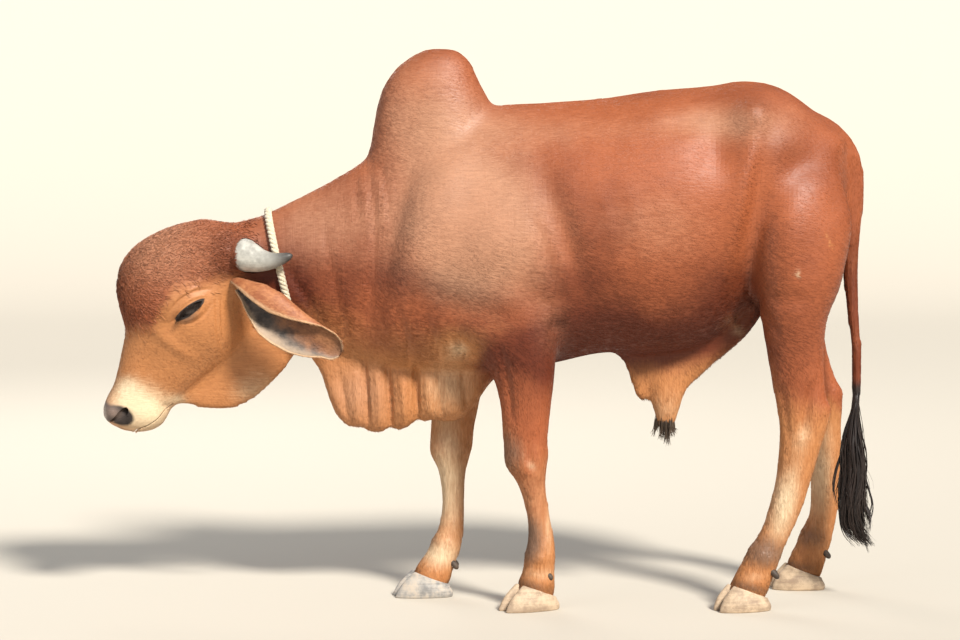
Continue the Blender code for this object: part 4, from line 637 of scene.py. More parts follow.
marks = {
    # the tan of the face, throat, dewlap and legs starts below this line of (x, z)
    "tanEdge": [
        (-1.05, 0.7), (-0.86, 0.715), (-0.83, 0.77), (-0.8, 0.815), (-0.74, 0.828), (-0.64, 0.845),
        (-0.58, 0.79), (-0.5, 0.735), (-0.44, 0.68), (-0.38, 0.645), (-0.25, 0.62), (-0.05, 0.61),
        (0.05, 0.58), (0.2, 0.58), (0.32, 0.6), (0.45, 0.6), (0.62, 0.64), (0.72, 0.7), (1.0, 0.4),
    ],
    "tanSoft": 0.022,
    # centre, reach and strength; then a lean in degrees, and a side when it isn't on both
    "spots": {
        "tan": [
            ((-0.42, 0.05, 0.72), (0.1, 0.2, 0.1), 0.45), ((-0.2, 0.1, 0.68), (0.16, 0.2, 0.08), 0.4),
            ((-0.28, 0.0, 0.52), (0.16, 0.2, 0.1), 0.25),
            ((0.11, 0.14, 0.56), (0.12, 0.2, 0.16), -1.1, 0, -1),
            ((0.8, 0.14, 0.64), (0.14, 0.2, 0.15), -1.0, 0, -1),
            ((0.84, 0.16, 0.64), (0.12, 0.2, 0.1), -0.6, 0, 1),
            ((0.73, 0.06, 0.74), (0.07, 0.06, 0.1), 0.7), ((0.62, 0.1, 0.72), (0.05, 0.12, 0.05), 0.5),
            ((0.93, 0.0, 0.85), (0.03, 0.05, 0.2), 0.35),
            ((0.11, 0.14, 0.3), (0.08, 0.2, 0.16), -0.42, 0, -1),
            ((0.846, 0.17, 0.946), (0.004, 0.06, 0.028), 1.0, -25, -1),
            ((0.856, 0.17, 0.925), (0.014, 0.06, 0.003), 1.0, 20, -1),
            # the first spot here lightens the low shoulder, painted light against the shade that falls there
            ((0.045, 0.15, 0.715), (0.09, 0.2, 0.07), 0.5), ((-0.07, 0.1, 0.665), (0.06, 0.2, 0.05), 0.8),
        ],
        "cream": [
            ((-0.888, 0.04, 0.498), (0.092, 0.2, 0.068), 1.05, 20),
            ((-0.925, 0.06, 0.56), (0.03, 0.2, 0.03), 0.45),
            ((-0.8, 0.05, 0.525), (0.02, 0.1, 0.015), 0.35), ((-0.6, 0.03, 0.55), (0.08, 0.2, 0.05), 0.4),
            ((-0.11, 0.05, 0.56), (0.08, 0.2, 0.09), 0.42),
            ((0.125, 0.14, 0.095), (0.05, 0.1, 0.02), 0.4, 0, -1),
            ((0.15, 0.14, 0.205), (0.012, 0.1, 0.08), 0.4, 0, -1),
            ((0.105, 0.14, 0.372), (0.014, 0.1, 0.012), 0.55, 40, -1),
            ((-0.11, 0.08, 0.3), (0.05, 0.1, 0.16), 0.75, 0, 1),
            ((-0.13, 0.08, 0.11), (0.05, 0.1, 0.035), 0.8, 0, 1),
            ((0.79, 0.15, 0.45), (0.028, 0.1, 0.05), 0.4, 10, -1),
            ((0.745, 0.15, 0.27), (0.034, 0.1, 0.11), 0.85, 12, -1),
            ((0.87, 0.16, 0.32), (0.04, 0.1, 0.16), 0.6, 0, 1),
            ((0.67, 0.15, 0.09), (0.04, 0.1, 0.016), 0.35, 0, -1),
            ((0.765, 0.2, 0.861), (0.006, 0.06, 0.011), 1.0, 0, -1),
            # a pale stroke along the skin fold ahead of the stifle: painted highlight
            ((0.65, 0.2, 0.765), (0.006, 0.08, 0.036), 0.8, -28, -1),
            ((0.455, 0.0, 0.5), (0.07, 0.1, 0.05), 0.35), ((0.64, 0.08, 0.7), (0.03, 0.1, 0.02), 0.45, 30),
            ((-0.08, 0.1, 0.665), (0.03, 0.2, 0.025), 0.45),
        ],
        # lighter rose-brown: the coat's own on the poll, the dewlap and the near foreleg; painted sheen on
        # the neck, hump, shoulder, top of the back and rump
        "dun": [
            ((0.16, 0.15, 0.72), (0.06, 0.2, 0.1), 0.3), ((-0.44, 0.06, 0.98), (0.18, 0.3, 0.13), 0.55),
            ((-0.33, 0.02, 0.54), (0.13, 0.2, 0.12), 0.6), ((-0.17, 0.04, 1.26), (0.15, 0.2, 0.17), 0.6),
            ((-0.06, 0.14, 1.04), (0.2, 0.3, 0.2), 0.7), ((-0.02, 0.16, 0.93), (0.17, 0.3, 0.15), 0.85),
            ((0.42, 0.16, 0.98), (0.16, 0.3, 0.12), 0.45), ((0.56, 0.1, 1.24), (0.14, 0.3, 0.05), 0.55),
            ((0.11, 0.14, 0.25), (0.08, 0.3, 0.16), 0.45, 0, -1),
            ((0.2, 0.1, 1.22), (0.3, 0.3, 0.05), 0.35), ((0.72, 0.14, 1.22), (0.14, 0.3, 0.09), 0.3),
            ((-0.84, 0.04, 0.9), (0.16, 0.2, 0.13), 0.7),
        ],
        # dark red: painted shade under the belly, on the low neck in the ear's shadow, in the flank and in
        # the hollow at the elbow
        "deep": [
            ((0.28, 0.15, 0.66), (0.34, 0.3, 0.085), 1.3), ((0.58, 0.15, 0.82), (0.13, 0.3, 0.12), 0.5),
            ((-0.54, 0.08, 0.78), (0.14, 0.2, 0.12), 1.0), ((0.3, 0.15, 0.84), (0.2, 0.3, 0.1), 0.35),
            ((0.8, 0.15, 0.74), (0.12, 0.3, 0.16), 0.35), ((0.96, 0.0, 0.75), (0.05, 0.05, 0.3), 0.5),
            ((-0.09, 0.15, 0.83), (0.15, 0.3, 0.045), 0.8, 10),
            ((0.165, 0.15, 0.705), (0.03, 0.1, 0.035), 0.55),
        ],
        "dark": [
            ((-1.0, 0.02, 0.482), (0.022, 0.05, 0.034), 1.7, 20),
            ((-0.945, 0.056, 0.486), (0.034, 0.034, 0.023), 1.7, 15),
            ((-0.786, 0.096, 0.742), (0.014, 0.03, 0.01), 0.6, -35),
            ((-0.762, 0.096, 0.749), (0.028, 0.04, 0.01), 0.72, -35),
            ((0.945, 0.0, 0.5), (0.04, 0.05, 0.075), 1.2), ((0.45, 0.0, 0.452), (0.035, 0.05, 0.018), 1.1),
            # the last spot darkens the elbow: painted shade in its hollow
            ((0.163, 0.165, 0.755), (0.02, 0.05, 0.016), 0.35),
        ],
        "grey": [
            ((-0.76, 0.096, 0.745), (0.034, 0.04, 0.014), 1.25, -35),
            ((0.055, 0.14, 0.4), (0.05, 0.1, 0.075), 0.85, 0, -1),
            ((-0.145, 0.08, 0.385), (0.03, 0.08, 0.045), 0.4, 0, 1),
            ((0.105, 0.14, 0.18), (0.04, 0.1, 0.075), 1.05, 0, -1),
            ((-0.145, 0.07, 0.15), (0.03, 0.08, 0.03), 0.55, 0, 1),
            ((0.7, 0.15, 0.15), (0.07, 0.1, 0.052), 1.0, 0, -1),
            ((0.85, 0.17, 0.14), (0.05, 0.08, 0.04), 0.8, 0, 1),
            ((0.66, 0.15, 0.066), (0.08, 0.1, 0.013), 0.75, 12, -1),
            ((0.115, 0.14, 0.066), (0.08, 0.1, 0.013), 0.65, 12, -1),
            ((0.82, 0.17, 0.066), (0.08, 0.1, 0.013), 0.75, 12, 1),
            ((-0.16, 0.1, 0.066), (0.08, 0.1, 0.01), 0.6, 12, 1),
        ],
        "wrinkle": [
            ((-0.47, 0.1, 0.9), (0.1, 0.3, 0.24), 0.9), ((-0.28, 0.12, 0.98), (0.12, 0.3, 0.22), 0.8),
            ((0.06, 0.15, 0.88), (0.16, 0.3, 0.18), 0.4), ((-0.3, 0.04, 0.6), (0.16, 0.3, 0.1), 0.6),
            ((0.44, 0.15, 0.74), (0.12, 0.3, 0.1), 0.35), ((0.14, 0.15, 1.05), (0.12, 0.3, 0.14), 0.35),
        ],
        "nose": [
            ((-1.0, 0.02, 0.482), (0.022, 0.06, 0.034), 1.4, 20),
            ((-0.962, 0.056, 0.494), (0.018, 0.02, 0.015), 0.9, 35),
        ],
    },
}


def markings(points):
    x, y, z = points.T
    masks = {}
    for name, spots in marks["spots"].items():
        masks[name] = np.zeros(len(points))
        if name == "tan":
            masks[name] += risen((np.interp(x, *zip(*marks["tanEdge"])) - z) / marks["tanSoft"])
        for centre, reach, strength, *rest in spots:
            lean, side = (*rest, 0, 0)[:2]
            near = nearness(points, centre, reach, lean)
            if side:
                near[y * side < 0] = 0
            masks[name] += strength * near
    out, over = aroundSlit(points, 0.0012, 0.0004)  # the dark rim of the lids
    rim = np.exp(-np.maximum(0, out - 0.95) ** 2 * 12)
    masks["dark"] += rim * np.where(over > 0, 1.2, 0.72) * (np.abs(y) > 0.05)
    masks["down"] = np.clip((0.72 - z) / 0.15, 0, 1) * (x > -0.5)  # where the hair hangs: legs and tail
    masks["down"] = np.maximum(masks["down"], (x > 0.91) * 1.0)
    return {name: np.clip(values, 0, 1) for name, values in masks.items()}


def markPiece(obj):
    for name, values in markings(places(obj.data)).items():
        setMask(obj.data, name, values)


def unwrap(obj):  # the map that the coat's roots are placed on
    bpy.context.view_layer.objects.active = obj
    obj.select_set(True)
    bpy.ops.object.mode_set(mode="EDIT")
    bpy.ops.mesh.select_all(action="SELECT")
    bpy.ops.uv.smart_project(angle_limit=1.15, island_margin=0.004, scale_to_bounds=True)
    bpy.ops.object.mode_set(mode="OBJECT")
    obj.select_set(False)
    obj.data.uv_layers[0].name = "OFBake"


markPiece(skin)
unwrap(skin)
print("markings and unwrap")

ears = {
    "line": [
        (-0.648, 0.062, 0.828), (-0.625, 0.094, 0.812), (-0.586, 0.122, 0.783), (-0.51, 0.142, 0.735),
        (-0.44, 0.147, 0.692), (-0.376, 0.142, 0.653),
    ],
    # share of the length, fold's top, free rim, drop of the lower rim, fold's depth, lower turn
    "sections": [
        (0.0, 0.008, 0.0, 0.006, 0.014, 90), (0.04, 0.014, 0.0, 0.012, 0.026, 90),
        (0.1, 0.02, 0.0, 0.016, 0.034, 90), (0.18, 0.032, 0.0, 0.022, 0.042, 90),
        (0.28, 0.048, -0.001, 0.038, 0.05, 85), (0.42, 0.0525, -0.002, 0.062, 0.05, 75),
        (0.54, 0.047, 0.008, 0.069, 0.046, 70), (0.66, 0.04, 0.022, 0.065, 0.04, 75),
        (0.78, 0.037, 0.036, 0.051, 0.034, 88), (0.89, 0.039, 0.038, 0.032, 0.03, 110),
        (0.96, 0.028, 0.027, 0.025, 0.022, 100), (1.0, 0.009, 0.008, 0.008, 0.01, 90),
    ],
    "up": (0.518, 0.0, 0.855),
    "thick": 0.0038,
    "rows": 46,
    "lower": 14,  # points of the lower and of the upper part of a section
    "upper": 20,
}


def earLine(share):
    table = np.array(ears["sections"])
    top, rim, low, depth, turn = (float(np.interp(share, table[:, 0], table[:, c])) for c in range(1, 6))
    last = math.radians(turn)
    line = []
    for k in range(ears["lower"]):
        angle = last * (1 - k / ears["lower"])
        drop = low * math.sin(angle) / math.sin(min(last, math.pi / 2))
        line.append((-drop, low * 0.45 * (1 - math.cos(angle))))
    last = math.pi - math.asin(max(-1, min(1, rim / top)))
    for k in range(ears["upper"] + 1):
        angle = last * k / ears["upper"]
        line.append((top * math.sin(angle), depth * (1 - math.cos(angle)) / 2))
    return line


def makeEar(name, side):
    count = ears["rows"]
    rows = smoothRows(ears["line"], count)
    length = np.linalg.norm(np.diff(rows, axis=0), axis=1)
    share = np.concatenate([[0], np.cumsum(length)]) / length.sum()
    bm = bmesh.new()
    per = ears["lower"] + ears["upper"] + 1
    grid = bmesh.ops.create_grid(bm, x_segments=count - 1, y_segments=per - 1, size=1)["verts"]
    bm.verts.index_update()
    grid.sort(key=lambda v: (round(v.co.x, 5), v.co.y))
    order = np.array([vert.index for vert in grid])
    for i, row in enumerate(rows):
        ahead = Vector(rows[min(i + 1, count - 1)]) - Vector(rows[max(i - 1, 0)])
        up = Vector(ears["up"])
        up = (up - ahead * up.dot(ahead) / ahead.length_squared).normalized()
        outward = ahead.cross(up).normalized()
        outward *= math.copysign(1, outward.y)
        ripple = 1 + 0.03 * math.sin(share[i] * 19) * share[i]
        for k, (rise, out) in enumerate(earLine(share[i])):
            point = Vector(row) + up * rise * ripple + outward * out
            grid[i * per + k].co = (point.x, point.y * side, point.z)
    mesh = bpy.data.meshes.new(name)
    bm.to_mesh(mesh)
    bm.free()
    sheet = len(mesh.vertices)
    obj = asPiece(name, mesh)
    modify(obj, "SOLIDIFY", thickness=ears["thick"], offset=0)
    applied(obj)
    points = places(obj.data)
    middle = (points[:sheet] + points[sheet:]) / 2
    fold, along = np.zeros(sheet), np.zeros(sheet)
    fold[order] = np.tile(np.arange(per) / (per - 1), count)
    along[order] = np.repeat(share, per)
    # the layer whose surface turns toward the side, at the middle line, is the hollow
    hollow = (points[:sheet, 1] - middle[:, 1])[np.abs(fold - 0.41) < 0.04].mean() * side > 0
    rim = np.minimum(fold, 1 - fold) * 2
    setMask(obj.data, "inner", np.repeat([hollow * 1.0, 1.0 - hollow], sheet))
    setMask(obj.data, "rim", np.tile(np.exp(-((rim / 0.10) ** 2)), 2))
    setMask(obj.data, "along", np.tile(along, 2))
    setMask(obj.data, "fold", np.tile(fold, 2))
    modify(obj, "SUBSURF", levels=1, render_levels=1)
    applied(obj)
    obj.data.polygons.foreach_set("use_smooth", [True] * len(obj.data.polygons))
    markPiece(obj)
    unwrap(obj)
    return obj


earPieces = {name: makeEar("ear." + name, side) for name, side in sides.items()}
print("ears")


def lidRim(name, side):  # a thin moist edge round the slit
    middle = eyeCentre(side)
    ring = [onEye(side, spot, 0.0008) for spot in slitPlug(side, 0.0006)[1]]
    rings = []
    for k, (spot, (_, low)) in enumerate(zip(ring, circle(len(ring)))):
        thick = 0.0011 + 0.0005 * low
        ahead = (ring[(k + 1) % len(ring)] - ring[k - 1]).normalized()
        out = (spot - middle).normalized()
        over = ahead.cross(out).normalized()
        rings.append([spot + (out * c + over * s) * thick for c, s in circle(8)])
    return loftPiece(name, rings, closed=True)


eyePieces, lidPieces = [], []
for name, side in sides.items():
    eyePieces.append(eyeBall("eye." + name, side, head["eyeRadius"]))
    lidPieces.append(lidRim("lidRim." + name, side))
print("eyes")

horns = {
    "line": [
        (-0.642, 0.078, 0.899, 0.034), (-0.625, 0.088, 0.899, 0.0425), (-0.607, 0.098, 0.894, 0.0385),
        (-0.578, 0.112, 0.887, 0.0292), (-0.548, 0.124, 0.887, 0.0208), (-0.52, 0.131, 0.894, 0.014),
        (-0.497, 0.135, 0.902, 0.0068),
    ],
    "corners": 40,
    "rings": 64,
    "tip": (0.93, 0.075),  # where it starts to round off, and over what share of the length
}


def makeHorn(name, side):
    rings = tubeRings([(x, y * side, z, r) for x, y, z, r in horns["line"]], horns["corners"], horns["rings"])
    start, length = horns["tip"]
    for k, ring in enumerate(rings):
        centre = sum(ring, Vector()) / len(ring)
        share = k / (len(rings) - 1)
        swell = 1 + 0.020 * math.exp(-share * 7) * math.sin(share * 110)
        swell *= math.sqrt(max(0.02, 1 - ((share - start) / length) ** 2)) if share > start else 1
        rings[k] = [centre + (p - centre) * swell for p in ring]
    return loftPiece(name, rings)


hornPieces = [makeHorn("horn." + name, side) for name, side in sides.items()]
print("horns")

hoofs = {
    # toe and heel from the coronet's middle, at the sole
    "reach": {"fore": (0.098, 0.050), "hind": (0.086, 0.050)},
    "coronet": (0.066, 0.031),  # heights of its front and back edge
    "top": (0.046, 0.046),  # toe and heel at the coronet
    "halfWidth": 0.0215,
    "spread": 0.0236,
    "swell": 0.006,  # of the heel and the outer wall
    "bulge": 0.009,  # of the front wall between the coronet and the sole
    "levels": (0, 0.02, 0.06, 0.14, 0.24, 0.36, 0.5, 0.64, 0.78, 0.90, 0.97, 1.0),
    "tuck": {0: 0.0022, 0.02: 0.0008, 0.97: 0.0004, 1.0: 0.0016},  # rounds the edges of sole and top
    "turn": {"fore_left": 30, "fore_right": 12, "hind_left": 22, "hind_right": 4},
    # behind the fetlock: back, out, up and radius
    "dewclaw": [(0.016, 0.016, -0.040, 0.010), (0.034, 0.020, -0.051, 0.0125), (0.048, 0.022, -0.062, 0.009)],
    "dewclawTip": {13: 0.92, 14: 0.74, 15: 0.35},  # what its last rings shrink to
}


def coronetHeight(ahead):
    front, back = hoofs["top"]
    low, high = hoofs["coronet"][1], hoofs["coronet"][0]
    return low + (high - low) * (ahead + back) / (front + back)


def makeClaw(name, x, y, kind, side, turn):
    c, s = math.cos(math.radians(turn)), math.sin(math.radians(turn))
    rings = []
    for share in hoofs["levels"]:
        front, back = (sole + (top - sole) * share for sole, top in zip(hoofs["reach"][kind], hoofs["top"]))
        swell = hoofs["swell"] * math.sin(math.pi * min(1, share + 0.12))
        front += hoofs["bulge"] * math.sin(math.pi * share)
        tuck = hoofs["tuck"].get(share, 0)
        groove = 0.0004 * math.sin(share * 46)  # growth rings of the wall
        ring = []
        for ahead, out in circle(36):
            long = ((front if ahead > 0 else back + swell) - tuck + groove) * bend(ahead, 2.3)
            taper = 1 - 0.30 * max(0, ahead) ** 2 * (1 - 0.4 * share)
            wide = hoofs["halfWidth"] - 0.003 * share + (swell if out > 0 else 0) - tuck + groove
            inward = 0.006 * max(0, ahead) ** 2
            atTop = -back + (long + back) * sum(hoofs["top"]) / (front + back)
            height = coronetHeight(atTop + back - hoofs["top"][1]) * share
            u, v = -long, side * (hoofs["spread"] - inward + wide * bend(out, 2.4) * taper)
            ring.append(Vector((x + u * c - v * s, y + u * s + v * c, height)))
        rings.append(ring)
    return loftPiece(name, rings)


def makeDewclaw(name, x, y, z, side):
    rows = [(x + back * 0.68, y + side * out, z + up, r * 0.66) for back, out, up, r in hoofs["dewclaw"]]
    rings = tubeRings(rows, 20, 16)
    for k, share in hoofs["dewclawTip"].items():
        centre = sum(rings[k], Vector()) / 20
        rings[k] = [centre + (p - centre) * share for p in rings[k]]
    return loftPiece(name, rings)


clawPieces = []
for kind in ("fore", "hind"):
    for leg in sides:
        joints = body[kind + "Joints"][leg]
        foot = kind + "_" + leg
        for side in sides.values():
            place = foot + ("_outer" if (side > 0) == (joints[4][1] > 0) else "_inner")
            claw = makeClaw("hoof." + place, *joints[4][:2], kind, side, hoofs["turn"][foot])
            nub = makeDewclaw("dewclaw." + place, *joints[3], side)
            clawPieces += [(claw, "claw_" + place), (nub, "dewclaw_" + place)]
print("hoofs")

rope = {
    "plane": [(-0.580, 1.06), (-0.470, 0.60)],  # top and bottom of the loop, as (x, z)
    "strand": 0.0052,
    "wind": 0.0050,
    "pitch": 0.034,
    "lift": 0.0068,  # off the skin
}


def surfaceTree(obj):
    mesh = obj.data
    mesh.calc_loop_triangles()
    corners = [tuple(t.vertices) for t in mesh.loop_triangles]
    return BVHTree.FromPolygons([v.co for v in mesh.vertices], corners)


def makeRope():
    tree = surfaceTree(skin)
    top, foot = (Vector((x, 0, z)) for x, z in rope["plane"])
    up, middle = (top - foot).normalized(), (top + foot) / 2
    hits = []
    for c, s in circle(180):
        place, _, _, _ = tree.ray_cast(middle, up * c + Vector((0, 1, 0)) * s)
        if place:
            hits.append(((place - middle).dot(up), place.y))
    hull = [Vector(hits[i]) for i in geometry.convex_hull_2d(hits)]
    hull.append(hull[0])
    steps = np.concatenate([[0], np.cumsum([(b - a).length for a, b in zip(hull, hull[1:])])])
    turns = round(steps[-1] / rope["pitch"])
    count = turns * 12
    at = np.linspace(0, steps[-1], count, endpoint=False)
    flat = np.array([[np.interp(p, steps, [h[c] for h in hull]) for c in (0, 1)] for p in at])
    for _ in range(count // 14):  # rounds of rounding off the hull's corners
        flat = (np.roll(flat, 1, 0) + 2 * flat + np.roll(flat, -1, 0)) / 4
    along = np.roll(flat, -1, 0) - np.roll(flat, 1, 0)
    out = unit(np.stack([along[:, 1], -along[:, 0]], 1))
    out *= np.sign((out * flat).sum(1))[:, None]
    flat += out * rope["lift"]
    square = up.cross(Vector((0, 1, 0)))
    centres = [middle + up * p[0] + Vector((0, p[1], 0)) for p in flat.tolist()]
    outs = [up * p[0] + Vector((0, p[1], 0)) for p in out.tolist()]
    bm = bmesh.new()
    for strand in range(3):
        line = []
        for k in range(count):
            turn = math.tau * (k / 12 + strand / 3)
            line.append(centres[k] + (outs[k] * math.cos(turn) + square * math.sin(turn)) * rope["wind"])
        rings = []
        for k, spot in enumerate(line):
            ahead = (line[(k + 1) % count] - line[k - 1]).normalized()
            u = ahead.cross(outs[k]).normalized() * rope["strand"]
            v = ahead.cross(u).normalized() * rope["strand"]
            rings.append([spot + u * c + v * s for c, s in circle(10)])
        addLoft(bm, rings, closed=True)
    return newPiece("collarRope", bm)


ropePiece = makeRope()
print("rope")

hair = {
    "switch": [  # (x, z, half width, half depth) of the whole switch
        (0.946, 0.535, 0.0125, 0.0125), (0.941, 0.472, 0.024, 0.021), (0.939, 0.415, 0.033, 0.028),
        (0.938, 0.34, 0.035, 0.03), (0.939, 0.25, 0.034, 0.03), (0.938, 0.2, 0.028, 0.025),
        (0.95, 0.165, 0.017, 0.016), (0.976, 0.136, 0.005, 0.006),
    ],
    "strays": [  # (y at the tip, (x, z) along the lock)
        (-0.01, [(0.93, 0.44), (0.908, 0.38), (0.893, 0.33), (0.888, 0.295), (0.897, 0.255)]),
        (0.012, [(0.95, 0.4), (0.968, 0.33), (0.982, 0.285), (0.992, 0.245), (0.982, 0.205)]),
        (-0.02, [(0.945, 0.36), (0.957, 0.28), (0.975, 0.24), (0.985, 0.215), (0.98, 0.19)]),
        (0.0, [(0.938, 0.32), (0.943, 0.25), (0.957, 0.2), (0.97, 0.165), (0.981, 0.134)]),
        (-0.022, [(0.925, 0.33), (0.911, 0.26), (0.906, 0.21), (0.92, 0.172), (0.946, 0.15)]),
        (0.024, [(0.935, 0.33), (0.922, 0.26), (0.914, 0.215), (0.925, 0.18), (0.94, 0.16)]),
    ],
    "switchLocks": 760,
    "strayLocks": 7,  # of each
    "sheath": [  # x and y at the root, then x, y and z at the tip
        (0.432, -0.006, 0.42, -0.012, 0.425), (0.438, 0.008, 0.431, 0.016, 0.43),
        (0.443, -0.012, 0.44, -0.02, 0.418), (0.449, 0.0, 0.448, 0.004, 0.412),
        (0.452, -0.014, 0.455, -0.018, 0.406), (0.457, 0.012, 0.46, 0.02, 0.416),
        (0.46, -0.004, 0.462, -0.006, 0.398), (0.464, -0.012, 0.468, -0.022, 0.424),
        (0.468, 0.006, 0.474, 0.01, 0.42), (0.471, -0.005, 0.481, -0.01, 0.43),
    ],
    "sheathLocks": 170,
    "lashes": (130, 40),  # on the upper and the lower lid
    "lashReach": (0.022, 0.007),
    "seed": 7,
}
dice = np.random.default_rng(hair["seed"])


def asMesh(name, verts, faces):  # a piece straight from arrays of places and triangles
    mesh = bpy.data.meshes.new(name)
    mesh.vertices.add(len(verts))
    mesh.vertices.foreach_set("co", verts.astype(np.float32).ravel())
    mesh.loops.add(faces.size)
    mesh.loops.foreach_set("vertex_index", faces.ravel().astype(np.int32))
    mesh.polygons.add(len(faces))
    mesh.polygons.foreach_set("loop_start", np.arange(0, faces.size, 3, dtype=np.int32))
    mesh.update(calc_edges=True)
    return asPiece(name, mesh)


def manyOf(name, verts, faces, spots, turn):  # one mesh of alike tufts, each on a small spot of the map
    n, per, _ = verts.shape
    index = (np.arange(n)[:, None, None] * per + np.array(faces)[None]).reshape(-1, 3)
    obj = asMesh(name, verts.reshape(-1, 3), index)
    setMask(obj.data, "tint", np.repeat(dice.random(n), per))
    steps = np.arange(per) * turn
    local = 0.0015 * np.stack([np.cos(steps), np.sin(steps)], 1)
    uvs = (spots[:, None] + local[None]).reshape(-1, 2)[index.ravel()]
    obj.data.uv_layers.new(name="OFBake").data.foreach_set("uv", uvs.astype(np.float32).ravel())
    return obj


def strands(name, roots, normals, ways, lengths, widths, lift, curl, rings, sway, spots):
    # many thin closed tufts: a three-sided foot, more rings where they bend, and a point
    side = np.cross(normals, ways)
    sections = []
    for k in range(rings + 1):
        share = k / rings
        turn = (curl * share * share)[:, None]
        heading = ways * np.cos(turn) + side * np.sin(turn)
        rise = lift * (share * 1.6 - share * share * 0.8)
        centre = roots + heading * (lengths * share)[:, None] + normals * (lengths * rise)[:, None]
        if sway:
            phase = np.linspace(0, 40, len(roots)) % 6.28
            centre = centre + side * (lengths * sway * np.sin(share * 7 + phase) * share)[:, None]
        if k == rings:
            sections.append(centre[:, None])
            break
        sink = 0.0010 if k == 0 else 0.0
        w = widths * (1 - 0.55 * share**2) / 2
        left, right = centre + side * w[:, None], centre - side * w[:, None]
        top = centre + normals * (w * 2 * 0.32)[:, None]
        sections.append(np.stack([left - normals * sink, right - normals * sink, top], 1))
    verts = np.concatenate(sections, 1)
    per = verts.shape[1]
    faces = [(0, 1, 2)]
    for k in range(rings - 1):
        a, b = 3 * k, 3 * k + 3
        for i, j in ((0, 2), (2, 1), (1, 0)):
            faces += [(a + i, a + j, b + j), (a + i, b + j, b + i)]
    tip, a = per - 1, per - 4
    faces += [(a, a + 2, tip), (a + 2, a + 1, tip), (a + 1, a, tip)]
    obj = manyOf(name, verts, faces, spots, 2.4)
    own = places(obj.data, "normal")  # shading that leans to the skin's, as short flat hair looks
    share = 0.40 if rings == 1 else 0.65
    leant = own * share + np.repeat(normals, per, 0) * (1 - share)
    obj.data.normals_split_custom_set_from_vertices(leant.tolist())
    return obj


def makeLocks(name, paths, corners=6):  # flat tapering locks, each a closed tube of rings
    lines = np.array([line for line, _, _ in paths])
    outs = np.array([tuple(out) for _, out, _ in paths])[:, None]
    widths = np.array([width for _, _, width in paths])[:, None, None]
    ahead = unit(np.gradient(lines, axis=1))
    over = across(outs, ahead)
    along = np.cross(ahead, over)
    rings = lines.shape[1]
    share = np.linspace(0, 1, rings)[None, :, None]
    full = np.clip(np.minimum(1, 0.3 + 2.4 * share) * (1 - share**2.2) ** 0.8, 0.08, 1) * widths
    turns = np.linspace(0, math.tau, corners, endpoint=False)
    verts = np.stack([lines + along * full * math.cos(t) + over * full * 0.42 * math.sin(t)
                      for t in turns], 2)
    faces = []
    for k in range(rings - 1):
        for a in range(corners):
            b = (a + 1) % corners
            here, after = k * corners, (k + 1) * corners
            faces += [(here + a, here + b, after + b), (here + a, after + b, after + a)]
    last = (rings - 1) * corners
    for a in range(1, corners - 1):
        faces += [(0, a + 1, a), (last, last + a, last + a + 1)]
    angle = np.arctan2(outs[:, 0, 1], outs[:, 0, 0]) / math.tau % 1
    spots = np.stack([angle, np.clip(lines[:, 0, 2] / 0.7, 0, 1)], 1) * 0.95 + 0.02
    return manyOf(name, verts.reshape(len(lines), -1, 3), faces, spots, 1.0)


def switchPaths():
    shape = np.array(hair["switch"])[::-1]
    paths = []
    for _ in range(hair["switchLocks"]):
        angle = math.tau * dice.random()
        clump = math.floor(angle * 9 / math.tau) + 0.5  # the lower locks gather into nine wisps
        gather, curve = clump * math.tau / 9, 0.016 * math.sin(clump * 2.4)
        deep = dice.random() ** 0.4
        top = 0.560 - 0.27 * dice.random() ** 0.9
        foot = 0.138 + 0.15 * dice.random() ** 1.4
        wave, phase = 0.004 + 0.006 * dice.random(), dice.random() * 2.4
        flick = (dice.random() - 0.4) * 0.030
        line = []
        for k in range(15):
            share = k / 14
            z = top + (foot - top) * share
            x, wide, thick = (float(np.interp(z, shape[:, 1], shape[:, c])) for c in (0, 2, 3))
            reach = min(1, 0.25 + 1.9 * share) * deep
            wide, thick = max(wide * reach, 0.0088), max(thick * reach, 0.0088)
            pull = max(0, share - 0.45) / 0.55
            pull = pull * pull * (3 - 2 * pull) * 0.8
            turn = angle * (1 - pull) + gather * pull
            sway = wave * math.sin(38 * z + phase) * share + flick * share**4
            sway += curve * math.sin(26 * z + clump) * pull
            line.append((x + wide * math.cos(turn) + sway, thick * math.sin(turn) + sway / 2, z))
        paths.append((line, Vector((math.cos(angle), math.sin(angle), 0)), 0.0014 + 0.0022 * dice.random()))
    for y, line in hair["strays"]:
        for _ in range(hair["strayLocks"]):
            px, py = (dice.random(2) - 0.5) * 0.007
            rows = [(x + px * k / 4, (y + py) * k / 4, z + py * k) for k, (x, z) in enumerate(line)]
            rows = [tuple(row) for row in smoothRows(rows, 15)]
            paths.append((rows, Vector((0.3, -1, 0)), 0.0016 + 0.0010 * dice.random()))
    return paths


def sheathPaths():
    paths = []
    for i in range(hair["sheathLocks"]):
        x0, y0, x1, y1, z1 = hair["sheath"][i % 10]
        px, py, _ = (dice.random(3) - 0.5) * 0.010
        root = (x0 + px, y0 + py, 0.470 + 0.014 * dice.random())
        middle = ((x0 * 2 + x1) / 3 + px, (y0 + y1) / 2 + py, (0.476 + z1) / 2)
        tip = (x1 + py * 1.5, y1 + px, z1 + (i // 10) * 0.0013 * dice.random())
        rows = [tuple(row) for row in smoothRows([root, middle, tip], 9)]
        paths.append((rows, Vector((0.4, -1, 0)), 0.0007 + 0.0009 * dice.random()))
    return paths


